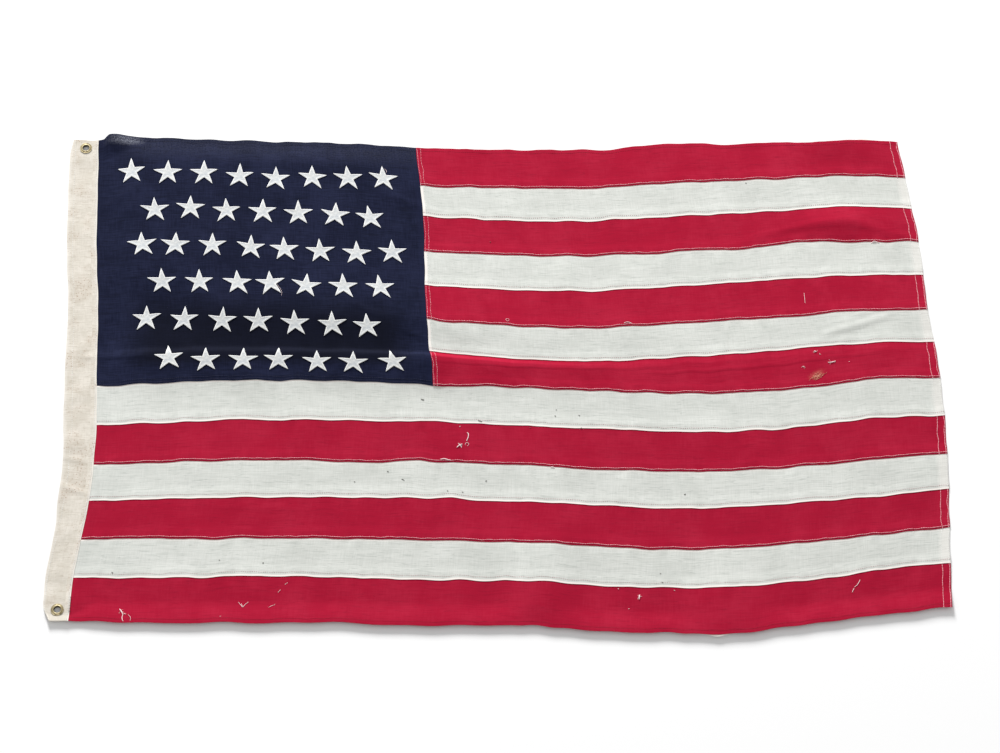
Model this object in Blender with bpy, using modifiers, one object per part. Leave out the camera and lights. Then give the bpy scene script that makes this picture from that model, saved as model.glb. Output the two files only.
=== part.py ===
"""A sewn forty-four star flag of wool bunting, laid out on a table, in metres with +Z up.

The flag lies face up with its hoist at -X and its top edge at +Y. It is built as a sailmaker
sews it: thirteen stripes, each lapped over the next below it, a blue union let in under the
stripes' ends, cotton stars sewn on the union, a folded canvas heading that holds the hoist
edge between its two plies, and two brass grommets through the heading.

Every piece is drawn on the flat cloth, S millimetres out from the heading and T millimetres
down from the top edge, and then laid on the table by one function, lay().
"""

import bisect
import math

import bmesh
import bpy
from mathutils import Vector

MM = 0.001

# The made-up flag, in millimetres: 30 by 48 inches over all
HOIST = 762.0
FLY = 1181.0
STRIPE_WIDTHS = (63.5, 54.0, 58.5, 59.0, 61.0, 55.5, 61.5, 59.5, 59.5, 53.5, 59.0, 54.0, 63.5)
STRIPES = len(STRIPE_WIDTHS)
SEAMS = [sum(STRIPE_WIDTHS[:index]) for index in range(STRIPES + 1)]
UNION_STRIPES = 7
UNION_FLY = 468.0
UNION_HOIST = SEAMS[UNION_STRIPES]

# Sheets and seams
CLOTH = 1.0
GAP = 0.3
LAP = 8.0
JOGGLE = 6.0
UNION_LAP = 7.0
HEM_CLOTH = 1.8
EDGE_HEM = 7.0
FLY_HEM = 13.0
HEM_STEP = 1.2
COLUMN = 60.0

# Stars: tip radius, waist as a share of it, cloth, pitch, and each row's first S, its T and tilts in degrees
STAR_RADIUS = 20.5
STAR_WAIST = 0.4
STAR_CLOTH = 1.0
STAR_BED = 0.5
STAR_PITCH = 52.0
STAR_ROWS = (
    (50.0, 62.0, (-8, -8, -6, -2, -3, -5, -1, 1)),
    (83.0, 125.5, (-9, -10, -7, -8, -6, 2, -5)),
    (63.0, 186.5, (-11, -5, -4, -4, -6, -6, 0, -10)),
    (93.0, 247.5, (-5, -5, -7, -10, 0, -5, -11)),
    (70.5, 310.5, (-5, 1, 1, -5, -6, -7, -3)),
    (101.0, 378.0, (4, 4, 6, 10, 3, 8, -11)),
)

# Heading: the folded canvas strip, and the bunting's edge inside it
HEADING = 38.0
CANVAS = 1.0
TUCK = 6.0
TUCK_STEP = 3.5
TUCK_FOOT = 16.0
LAP_FOOT = 8.0

# Grommets
GROMMET_HOLE = 4.5
GROMMET_BARREL = 5.1
GROMMET_FLANGE = 8.75
GROMMET_PLATE = 0.8
GROMMET_LIP = 0.35
GROMMET_S = -19.0
GROMMET_INSET = 15.0
GROMMET_SEAT = 11.0
GROMMET_SPREAD = 42.0
GROMMET_SIDES = 28

# How the flag was laid: its hoist and fly lines across the table, by distance down the flag
LINE_DROPS = (0.0, 190.0, 380.0, 480.0, 620.0, 762.0)
HOIST_LINE = (-588.0, -582.0, -566.0, -562.0, -567.0, -576.0)
FLY_LINE = (583.0, 602.0, 616.0, 618.0, 613.0, 608.0)

# How far each drop has crept up the table, by distance out from the heading
CREEP_OUT = (0.0, 160.0, 320.0, 460.0, 590.0, 700.0, 800.0, 900.0, 1000.0, 1090.0, 1181.0)
CREEP_DROPS = (0.0, 117.0, 234.0, 352.0, 410.0, 586.0, 762.0)
CREEP = (
    (8, 9, 5, -4, -8, -8, -1, 3, 5, 8, 6),
    (9, 12, 6, -5, -11, -12, -6, 0, 6, 13, 9),
    (11, 15, 10, 0, -8, -10, -4, 3, 11, 16, 17),
    (14, 19, 16, 10, -2, -6, -2, 4, 14, 23, 26),
    (16, 22, 24, 18, 15, 11, 5, 6, 14, 25, 30),
    (12, 17, 18, 16, 11, 6, 1, 4, 12, 20, 31),
    (13, 10, 10, 6, 7, 0, -5, -3, 10, 22, 33),
)

# The old half fold: a trough under seam six, a ridge below it, and its height by distance out
FOLD_OUT = (0.0, 120.0, 300.0, 460.0, 560.0, 680.0, 780.0, 900.0, 1050.0, 1181.0)
FOLD_HEIGHT = (2.0, 4.5, 6.0, 8.0, 9.5, 9.0, 6.0, 4.0, 3.5, 2.5)
FOLD_START = (-30.0, 40.0)
FOLD_TROUGH = 352.0
FOLD_CREST = 364.0
FOLD_FOOT = 440.0
FOLD_ROWS = {5: (307.0, 323.0), 6: (358.0, 366.0, 382.0), 7: (424.0, 442.0)}

# The lower swell above the trough: its share of the fold, and where it starts, crests and ends
SHOULDER_SHARE = 0.6
SHOULDER_OUT = (60.0, 200.0)
SHOULDER_DROPS = (215.0, 292.0, 292.0, FOLD_TROUGH)

# The union lies a little proud of the table: its height, and where that starts, levels and ends
UNION_SWELL = 4.5
UNION_SWELL_OUT = (4.0, 58.0, 400.0, 462.0)
UNION_SWELL_DROPS = (2.0, 46.0, 210.0, 330.0)

# Small ridges: height, middle S and its reach, middle T and its reach
RIDGES = (
    (6.0, 22.0, 34.0, 0.0, 42.0),
    (4.0, 1070.0, 130.0, 145.0, 34.0),
    (5.0, 632.0, 70.0, 762.0, 300.0),
    (4.0, 880.0, 80.0, 762.0, 150.0),
    (3.0, 1095.0, 75.0, 0.0, 46.0),
)

# The union's top corner is pushed up the table, past the heading: by how much, and the same four
PUCKER = (9.0, 20.0, 46.0, 0.0, 40.0)

# The union's fly edge bows out between its stripes: by how much, and the same four
BULGE = (6.5, 468.0, 220.0, 115.0, 150.0)

# Colours of the worn cloth: red, white and blue bunting, cotton, canvas and brass
RED = (0.42, 0.014, 0.035, 1.0)
WHITE = (0.68, 0.70, 0.66, 1.0)
BLUE = (0.022, 0.026, 0.062, 1.0)
CANVAS_CREAM = (0.76, 0.71, 0.62, 1.0)
BRASS = (0.48, 0.42, 0.27, 1.0)


def smooth(start, end, x):
    """Rise from 0 at start to 1 at end, level at both."""
    t = min(1.0, max(0.0, (x - start) / (end - start)))
    return t * t * (3.0 - 2.0 * t)


def bell(distance, reach):
    """A soft hump: 1 at no distance, 0 from reach on."""
    return 0.0 if abs(distance) >= reach else 0.5 + 0.5 * math.cos(math.pi * distance / reach)


def through(stations, values, x):
    """The smooth curve through the given values at the given stations."""
    x = min(stations[-1], max(stations[0], x))
    i = min(len(stations) - 2, bisect.bisect_right(stations, x) - 1)

    def slope(k):
        a, b = max(0, k - 1), min(len(stations) - 1, k + 1)
        return (values[b] - values[a]) / (stations[b] - stations[a])

    width = stations[i + 1] - stations[i]
    t = (x - stations[i]) / width
    rise = values[i + 1] - values[i]
    start, end = slope(i) * width, slope(i + 1) * width
    return values[i] + t * start + t * t * (3 * rise - 2 * start - end) + t**3 * (start + end - 2 * rise)


def plateau(stations, x):
    """Rise from the first station to the second, then fall from the third to the fourth."""
    first, second, third, fourth = stations
    return smooth(first, second, x) * (1.0 - smooth(third, fourth, x))


def hump(ridge, s, t):
    """One small ridge, highest at its middle."""
    height, out, out_reach, drop, drop_reach = ridge
    return height * bell(s - out, out_reach) * bell(t - drop, drop_reach)


def old_fold(s, t):
    """Height of the old half fold, which runs the length of the flag."""
    height = through(FOLD_OUT, FOLD_HEIGHT, s) * smooth(*FOLD_START, s)
    if t >= FOLD_TROUGH:
        return height * plateau((FOLD_TROUGH, FOLD_CREST, FOLD_CREST, FOLD_FOOT), t)
    return SHOULDER_SHARE * height * smooth(*SHOULDER_OUT, s) * plateau(SHOULDER_DROPS, t)


def creases(s, t):
    """Height of the swell under the union and of the small ridges left in the cloth."""
    swell = UNION_SWELL * plateau(UNION_SWELL_OUT, s) * plateau(UNION_SWELL_DROPS, t)
    return max(swell, *(hump(ridge, s, t) for ridge in RIDGES))


def grommet_lift(s, t):
    """The canvas stands on the lower flange of each grommet."""
    away = min(abs(t - GROMMET_INSET), abs(t - HOIST + GROMMET_INSET))
    down = 1.0 - smooth(GROMMET_SEAT, GROMMET_SPREAD, away)
    return (GROMMET_PLATE + GAP) * down * (1.0 - smooth(-TUCK, GROMMET_SPREAD, s))


def relief(s, t):
    """How far the cloth's underside stands off the table, in millimetres."""
    return creases(s, t) + old_fold(s, t) + grommet_lift(s, t)


def lay(s, t, above=0.0):
    """Lay the point S out and T down on the table, that far above the cloth's underside, in metres."""
    hoist = through(LINE_DROPS, HOIST_LINE, t)
    fly = through(LINE_DROPS, FLY_LINE, t)
    x = hoist + s * (fly - hoist) / FLY + hump(BULGE, s, t)
    creep = through(CREEP_DROPS, [through(CREEP_OUT, row, s) for row in CREEP], t)
    y = HOIST / 2.0 - t + creep + hump(PUCKER, s, t)
    height = relief(s, t)
    lean = Vector((height - relief(s + 1.0, t), relief(s, t + 1.0) - height, 1.0)).normalized()
    return (Vector((x, y, height)) + above * lean) * MM


def spaced(start, end, pitch):
    """Stations between start and end, about a pitch apart, without the two ends."""
    count = max(1, round((end - start) / pitch))
    return [start + (end - start) * i / count for i in range(1, count)]


def stripe_rows(index):
    """Stations across one stripe, from its hidden top edge to its lower edge."""
    top, low = SEAMS[index], SEAMS[index + 1]
    rows = [0.0, EDGE_HEM, EDGE_HEM + HEM_STEP] if index == 0 else [top - LAP, top + GAP]
    rows += FOLD_ROWS.get(index, ())
    if index == STRIPES - 1:
        seat = HOIST - GROMMET_INSET - GROMMET_SEAT
        return rows + [seat, low - EDGE_HEM - HEM_STEP, low - EDGE_HEM, low]
    return rows + [low - LAP - JOGGLE, low - LAP, low]


def union_rows():
    """Stations down the union: those of the seams beside it, and of the old fold."""
    rows = {0.0, EDGE_HEM, EDGE_HEM + HEM_STEP, GROMMET_INSET + GROMMET_SEAT}
    for index in range(UNION_STRIPES):
        rows.update(stripe_rows(index)[-3:] + list(FOLD_ROWS.get(index, ())))
    return sorted(rows)


def heading_rows():
    """Stations down the heading: the bunting's own wherever the cloth isn't level."""
    rows = set(union_rows()) | set(stripe_rows(STRIPES - 1)[1:]) | set(FOLD_ROWS[UNION_STRIPES])
    calm = ((70.0, 330.0), (450.0, 690.0))
    rows = {t for t in rows if not any(a < t < b for a, b in calm)}
    return sorted(rows | set(SEAMS[2:STRIPES]))


def tuck_columns():
    """Stations of a piece that starts inside the heading and runs to the union's fly edge."""
    start = [-TUCK, GAP, LAP_FOOT, TUCK_FOOT]
    return start + spaced(TUCK_FOOT, UNION_FLY, COLUMN) + [UNION_FLY, UNION_FLY + UNION_LAP]


def fly_columns():
    """Stations from the union's fly edge to the fly hem."""
    start = UNION_FLY + UNION_LAP + JOGGLE
    hem = FLY - FLY_HEM - HEM_STEP
    return [start] + spaced(start, hem, COLUMN) + [hem, FLY - FLY_HEM, FLY]


def bulk(s, t):
    """Thickness of the bunting: about double in the fly, top and bottom hems."""
    in_hem = s > FLY - FLY_HEM - GAP or t < EDGE_HEM + GAP or t > HOIST - EDGE_HEM - GAP
    return HEM_CLOTH if in_hem and s > LAP_FOOT + GAP else CLOTH


def tuck_rise(s):
    """The bunting climbs onto the heading's lower ply."""
    return (CANVAS + GAP) * (1.0 - smooth(1.0, TUCK_FOOT, s))


def lap_rise(s, t, low):
    """A piece climbs over the top edge of the next one, except inside the heading."""
    return (bulk(s, t) + GAP) * smooth(low - LAP - JOGGLE, low - LAP, t) * smooth(GAP, LAP_FOOT, s)


def union_rise(s, t):
    """A short stripe climbs onto the union's edge."""
    foot = UNION_FLY + UNION_LAP
    return (bulk(s, t) + GAP) * (1.0 - smooth(foot, foot + JOGGLE, s))


def material(name, colour, roughness, metallic=0.0):
    """A plain finish for one kind of piece."""
    made = bpy.data.materials.new(name)
    made.use_nodes = True
    shader = made.node_tree.nodes["Principled BSDF"]
    shader.inputs["Base Color"].default_value = colour
    shader.inputs["Roughness"].default_value = roughness
    shader.inputs["Metallic"].default_value = metallic
    return made


def add(name, bm, finish, collection):
    """Put a shape in the scene as one named piece, and free the shape."""
    mesh = bpy.data.meshes.new(name)
    bm.to_mesh(mesh)
    bm.free()
    if finish:
        mesh.materials.append(finish)
    piece = bpy.data.objects.new(name, mesh)
    collection.objects.link(piece)
    return piece


def helper(piece):
    """Mark a piece as a cutter or a guide."""
    piece.hide_render = True
    piece.display_type = "WIRE"
    return piece


def combine(piece, operation, other):
    """Join, cut or trim a piece with another."""
    change = piece.modifiers.new(other.name, "BOOLEAN")
    change.operation = operation
    change.object = other


def sheet(name, columns, rows, above, thick, finish, collection, cut_away=None):
    """A sheet of cloth: its underside is laid above(s, t) over the table's relief, and Solidify
    gives it thick(s, t) upwards. cut_away(s, t) is true where the sheet is missing.
    """
    bm = bmesh.new()
    across, down = len(columns) - 1, len(rows) - 1
    bmesh.ops.create_grid(bm, x_segments=across, y_segments=down, size=1.0)
    drawn = {}
    for vertex in bm.verts:
        s = columns[round((vertex.co.x + 1.0) / 2.0 * across)]
        t = rows[down - round((vertex.co.y + 1.0) / 2.0 * down)]
        drawn[vertex] = (s, t)
        vertex.co = lay(s, t, above(s, t))
    if cut_away:
        lost = []
        for face in bm.faces:
            corners = [drawn[v] for v in face.verts]
            if cut_away(sum(s for s, t in corners) / 4.0, sum(t for s, t in corners) / 4.0):
                lost.append(face)
        bmesh.ops.delete(bm, geom=lost, context="FACES")
    bmesh.ops.triangulate(bm, faces=bm.faces, quad_method="FIXED")
    depths = [thick(*drawn[v]) for v in bm.verts]
    piece = add(name, bm, finish, collection)
    group = piece.vertex_groups.new(name="thickness")
    for index, depth in enumerate(depths):
        group.add([index], depth / max(depths), "REPLACE")
    solidify = piece.modifiers.new("Cloth", "SOLIDIFY")
    solidify.thickness = max(depths) * MM
    solidify.offset = 1.0
    solidify.vertex_group = group.name
    return piece


def build_stripes(red, white, collection):
    """Thirteen stripes: seven that start on the union and six that start in the heading."""
    for index in range(STRIPES):
        short = index < UNION_STRIPES
        columns = tuck_columns()[-2:] if short else tuck_columns()

        def above(s, t, index=index, short=short):
            lap = lap_rise(s, t, SEAMS[index + 1]) if index < STRIPES - 1 else 0.0
            return lap + (union_rise(s, t) if short else tuck_rise(s))

        def cut_away(s, t, index=index):
            return s < LAP_FOOT and t < SEAMS[index]

        sheet(
            f"stripe_{index + 1:02d}_{'white' if index % 2 else 'red'}",
            columns + fly_columns(),
            stripe_rows(index),
            above,
            bulk,
            white if index % 2 else red,
            collection,
            cut_away,
        )


def union_above(s, t):
    """Height of the union's underside over the relief."""
    return lap_rise(s, t, UNION_HOIST) + tuck_rise(s)


def build_union(blue, collection, helpers):
    """The blue union with its stars, which stand on it at their own outline."""
    union = sheet("union", tuck_columns(), union_rows(), union_above, bulk, blue, collection)
    layer = sheet(
        "star_layer", tuck_columns(), union_rows(),
        lambda s, t: union_above(s, t) + CLOTH - STAR_BED,
        lambda s, t: STAR_BED + STAR_CLOTH, None, helpers,
    )
    stars = helper(star_blanks(helpers))
    combine(stars, "INTERSECT", helper(layer))
    combine(union, "UNION", stars)


def star_blanks(helpers):
    """An upright five-pointed prism over each star's place on the union."""
    bm = bmesh.new()
    for first, drop, tilts in STAR_ROWS:
        for k, tilt in enumerate(tilts):
            x, y, _ = lay(first + STAR_PITCH * k, drop)
            corners = []
            for tip in range(10):
                reach = STAR_RADIUS * MM * (STAR_WAIST if tip % 2 else 1.0)
                turn = math.radians(90.0 - tilt + 36.0 * tip)
                corners.append(bm.verts.new((x + reach * math.cos(turn), y + reach * math.sin(turn), 0.0)))
            bm.faces.new(corners)
    outlines = list(bm.faces)
    raised = bmesh.ops.extrude_face_region(bm, geom=outlines, use_keep_orig=True)["geom"]
    tops = [v for v in raised if isinstance(v, bmesh.types.BMVert)]
    bmesh.ops.translate(bm, vec=(0.0, 0.0, 30.0 * MM), verts=tops)
    bmesh.ops.recalc_face_normals(bm, faces=bm.faces)
    return add("star_blanks", bm, None, helpers)


def build_heading(canvas, collection, helpers):
    """The canvas strip, folded at its outer edge, with the bunting's edge between its plies."""
    fold = HEADING - CANVAS - GAP / 2.0
    lower, upper, over = CANVAS, CANVAS + GAP, 2.0 * (CANVAS + GAP)
    profile = (
        (0.0, lower), (-TUCK, lower), (-TUCK - TUCK_STEP, lower), (-28.0, lower), (-fold, lower),
        (-fold - GAP / 2.0, (lower + upper) / 2.0),
        (-fold, upper), (-28.0, upper), (-TUCK - TUCK_STEP, upper), (-TUCK, over), (0.0, over),
    )
    rows = heading_rows()
    across, down = len(profile) - 1, len(rows) - 1
    bm = bmesh.new()
    bmesh.ops.create_grid(bm, x_segments=across, y_segments=down, size=1.0)
    for vertex in bm.verts:
        s, height = profile[round((vertex.co.x + 1.0) / 2.0 * across)]
        t = rows[down - round((vertex.co.y + 1.0) / 2.0 * down)]
        vertex.co = lay(s, t, height)
    bmesh.ops.triangulate(bm, faces=bm.faces, quad_method="FIXED")
    heading = add("heading", bm, canvas, collection)
    solidify = heading.modifiers.new("Canvas", "SOLIDIFY")
    solidify.thickness = CANVAS * MM
    solidify.offset = 1.0
    for name, drop in (("upper_punch", GROMMET_INSET), ("lower_punch", HOIST - GROMMET_INSET)):
        bm = bmesh.new()
        bmesh.ops.create_cone(
            bm, cap_ends=True, segments=GROMMET_SIDES, depth=30.0 * MM,
            radius1=(GROMMET_BARREL + GAP) * MM, radius2=(GROMMET_BARREL + GAP) * MM,
        )
        punch = helper(add(name, bm, None, helpers))
        punch.location = lay(GROMMET_S, drop) * Vector((1.0, 1.0, 0.0))
        combine(heading, "DIFFERENCE", punch)


def build_grommets(brass, collection):
    """Two turned brass grommets, each clinched on both faces of the canvas."""
    over = GROMMET_PLATE + GAP + 2.0 * CANVAS + GAP + GAP
    under = GROMMET_PLATE
    profile = (
        (GROMMET_FLANGE, over), (GROMMET_BARREL, over), (GROMMET_BARREL, under), (GROMMET_FLANGE, under),
        (GROMMET_FLANGE, GROMMET_LIP), (GROMMET_FLANGE - GROMMET_LIP, 0.0), (GROMMET_HOLE + 0.5, 0.0),
        (GROMMET_HOLE, under), (GROMMET_HOLE, over), (GROMMET_HOLE + 1.2, over + GROMMET_PLATE),
        (GROMMET_FLANGE - 1.2, over + GROMMET_PLATE), (GROMMET_FLANGE, over + GROMMET_LIP),
    )
    for name, drop in (("grommet_upper", GROMMET_INSET), ("grommet_lower", HOIST - GROMMET_INSET)):
        bm = bmesh.new()
        ring = [bm.verts.new((reach * MM, 0.0, height * MM)) for reach, height in profile]
        edges = [bm.edges.new(pair) for pair in zip(ring, ring[1:] + ring[:1])]
        bmesh.ops.spin(bm, geom=ring + edges, axis=(0, 0, 1), angle=math.tau, steps=GROMMET_SIDES)
        bmesh.ops.remove_doubles(bm, verts=bm.verts, dist=0.001 * MM)
        bmesh.ops.recalc_face_normals(bm, faces=bm.faces)
        grommet = add(name, bm, brass, collection)
        grommet.data.shade_smooth()
        grommet.data.set_sharp_from_angle(angle=math.radians(35.0))
        grommet.location = lay(GROMMET_S, drop) * Vector((1.0, 1.0, 0.0))


def centre_on_origin(collection, helpers):
    """Slide the whole flag so that the origin is under the middle of its outline."""
    bpy.context.view_layer.update()
    graph = bpy.context.evaluated_depsgraph_get()
    corners = []
    for piece in collection.objects:
        shown = piece.evaluated_get(graph)
        corners += [shown.matrix_world @ vertex.co for vertex in shown.data.vertices]
    middle_x = (min(c.x for c in corners) + max(c.x for c in corners)) / 2.0
    middle_y = (min(c.y for c in corners) + max(c.y for c in corners)) / 2.0
    for piece in list(collection.objects) + list(helpers.objects):
        piece.location.x -= middle_x
        piece.location.y -= middle_y
    bpy.context.view_layer.update()


def main():
    """Clear the scene and build the flag."""
    for old in list(bpy.data.objects):
        bpy.data.objects.remove(old)
    flag = bpy.data.collections.new("sewn flag")
    helpers = bpy.data.collections.new("cutters")
    for collection in (flag, helpers):
        bpy.context.scene.collection.children.link(collection)
    build_stripes(material("red bunting", RED, 0.85), material("white bunting", WHITE, 0.85), flag)
    build_union(material("blue bunting", BLUE, 0.85), flag, helpers)
    build_heading(material("heading canvas", CANVAS_CREAM, 0.9), flag, helpers)
    build_grommets(material("grommet brass", BRASS, 0.35, 1.0), flag)
    centre_on_origin(flag, helpers)


if __name__ == "__main__":
    main()
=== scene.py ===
"""A worn forty-four star flag of wool bunting, laid out flat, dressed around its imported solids.

Every piece is drawn on the flat cloth, S millimetres out from the heading and T millimetres down
from the top edge, and is laid on the table by Laying, the same way as the solids. The panels are
thin sheets with their laps, hems, puckers and creases, the stars are separate sewn pieces, and the
thread is laid stitch by stitch with Geometry Nodes.
"""

import logging
import math
import random
from dataclasses import dataclass, field
from enum import Enum
from typing import Any, Iterable, Optional, Sequence

import bmesh
import bpy
import numpy as np
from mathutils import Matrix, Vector

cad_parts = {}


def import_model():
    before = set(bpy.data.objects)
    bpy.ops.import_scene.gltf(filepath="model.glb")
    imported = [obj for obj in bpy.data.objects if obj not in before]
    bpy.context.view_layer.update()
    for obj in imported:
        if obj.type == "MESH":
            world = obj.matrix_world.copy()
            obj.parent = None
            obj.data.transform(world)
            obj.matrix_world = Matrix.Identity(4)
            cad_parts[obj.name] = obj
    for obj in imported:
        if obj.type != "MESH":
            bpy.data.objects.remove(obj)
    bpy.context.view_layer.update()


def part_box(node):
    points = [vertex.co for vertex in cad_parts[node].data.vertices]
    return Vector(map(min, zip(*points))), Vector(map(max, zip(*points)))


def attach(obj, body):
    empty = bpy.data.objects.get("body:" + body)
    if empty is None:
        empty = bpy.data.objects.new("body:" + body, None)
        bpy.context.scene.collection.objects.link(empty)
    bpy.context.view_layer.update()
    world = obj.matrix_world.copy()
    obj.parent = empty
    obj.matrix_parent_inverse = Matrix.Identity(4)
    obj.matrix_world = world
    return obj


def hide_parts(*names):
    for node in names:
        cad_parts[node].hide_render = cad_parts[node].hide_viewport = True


LOG = logging.getLogger("flag")
MM = 0.001
BODY = "root"
STAR_WIDE = 41.0
Array = np.ndarray
Place = tuple[float, float]


class Slot(Enum):
    """The record's material slots."""

    RED = "red_bunting"
    WHITE = "white_bunting"
    BLUE = "blue_bunting"
    STAR = "star_cotton"
    CANVAS = "heading_canvas"
    THREAD = "sewing_thread"
    BRASS = "grommet_brass"


# Curves that shape the cloth


def smooth(start: float, end: float, x: Array) -> Array:
    """Rise from 0 at start to 1 at end, level at both."""
    t = np.clip((np.asarray(x, float) - start) / (end - start), 0.0, 1.0)
    return t * t * (3.0 - 2.0 * t)


def bell(distance: Array, reach: float) -> Array:
    """A soft hump: 1 at no distance, 0 from reach on."""
    near = np.minimum(np.abs(np.asarray(distance, float)) / reach, 1.0)
    return 0.5 + 0.5 * np.cos(np.pi * near)


def plateau(stations: Sequence[float], x: Array) -> Array:
    """Rise from the first station to the second, then fall from the third to the fourth."""
    first, second, third, fourth = stations
    return smooth(first, second, x) * (1.0 - smooth(third, fourth, x))


def hump(ridge: Sequence[float], s: Array, t: Array) -> Array:
    """One small rise: how much, its middle S and reach, its middle T and reach."""
    height, out, out_reach, drop, drop_reach = ridge
    return height * bell(s - out, out_reach) * bell(t - drop, drop_reach)


def through(stations: Sequence[float], values: Sequence[Any], x: Array) -> Array:
    """The smooth curve through the given values at the given stations.

    Args:
        stations: Where the values are given, in rising order.
        values: A number or an array like x for each station.
        x: Where the curve is read.

    Returns:
        The curve's value at each x.
    """
    at = np.asarray(stations, float)
    x = np.clip(x, at[0], at[-1])
    known = np.array([np.broadcast_to(value, x.shape) for value in values], float)
    slopes = np.empty_like(known)
    slopes[1:-1] = (known[2:] - known[:-2]) / (at[2:] - at[:-2])[:, None]
    slopes[0] = (known[1] - known[0]) / (at[1] - at[0])
    slopes[-1] = (known[-1] - known[-2]) / (at[-1] - at[-2])
    i = np.clip(np.searchsorted(at, x, side="right") - 1, 0, len(at) - 2)
    column = np.arange(x.size)
    width = at[i + 1] - at[i]
    t = (x - at[i]) / width
    low, rise = known[i, column], known[i + 1, column] - known[i, column]
    start, end = slopes[i, column] * width, slopes[i + 1, column] * width
    return low + t * start + t * t * (3 * rise - 2 * start - end) + t**3 * (start + end - 2 * rise)


@dataclass(frozen=True)
class Ripples:
    """Smooth random waves over the cloth, the same on each run."""

    seed: int
    count: int
    shortest: float
    longest: float
    spread: float = math.pi

    def height(self, s: Array, t: Array) -> Array:
        """The waves at each place, mostly between -1 and 1."""
        draw = random.Random(self.seed)
        total = np.zeros_like(np.asarray(s, float))
        for _ in range(self.count):
            turn = draw.uniform(-self.spread / 2.0, self.spread / 2.0)
            pace = math.tau / draw.uniform(self.shortest, self.longest)
            start = draw.uniform(0.0, math.tau)
            total += np.sin(pace * (s * math.cos(turn) + t * math.sin(turn)) + start)
        return total * math.sqrt(1.0 / self.count)


@dataclass(frozen=True)
class Crease:
    """A soft ridge, or with a negative height a trough, pressed in along a straight line."""

    start: Place
    end: Place
    height: float
    reach: float

    def at(self, s: Array, t: Array) -> Array:
        """Its height at each place, fading out towards both ends."""
        along_s, along_t = self.end[0] - self.start[0], self.end[1] - self.start[1]
        long = math.hypot(along_s, along_t)
        run = ((s - self.start[0]) * along_s + (t - self.start[1]) * along_t) / long**2
        away = ((s - self.start[0]) * along_t - (t - self.start[1]) * along_s) / long
        fade = np.clip(1.0 - np.abs(2.0 * run - 1.0) ** 3, 0.0, 1.0)
        return self.height * fade * bell(away, self.reach)


# The flag as it was cut and sewn, and how it was laid out


@dataclass(frozen=True)
class Cut:
    """The flag's sizes as it was cut and sewn, in millimetres."""

    hoist: float = 762.0
    fly: float = 1181.0
    stripe_widths: tuple[float, ...] = (
        63.5, 54.0, 58.5, 59.0, 61.0, 55.5, 61.5, 59.5, 59.5, 53.5, 59.0, 54.0, 63.5,
    )
    union_stripes: int = 7
    union_fly: float = 468.0
    lap: float = 8.0
    joggle: float = 11.0
    union_lap: float = 7.0
    fly_hem: float = 13.0
    layer: float = 1.3
    lap_rise: float = 0.52
    bunting: float = 0.45
    tuck: float = 6.0
    tuck_foot: float = 16.0
    lap_foot: float = 8.0

    @property
    def seams(self) -> list[float]:
        """T of the top edge, of each stripe's lower edge, and last of the bottom edge."""
        return [sum(self.stripe_widths[:index]) for index in range(len(self.stripe_widths) + 1)]

    @property
    def union_hoist(self) -> float:
        """T of the union's lower edge."""
        return self.seams[self.union_stripes]


CUT = Cut()


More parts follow.
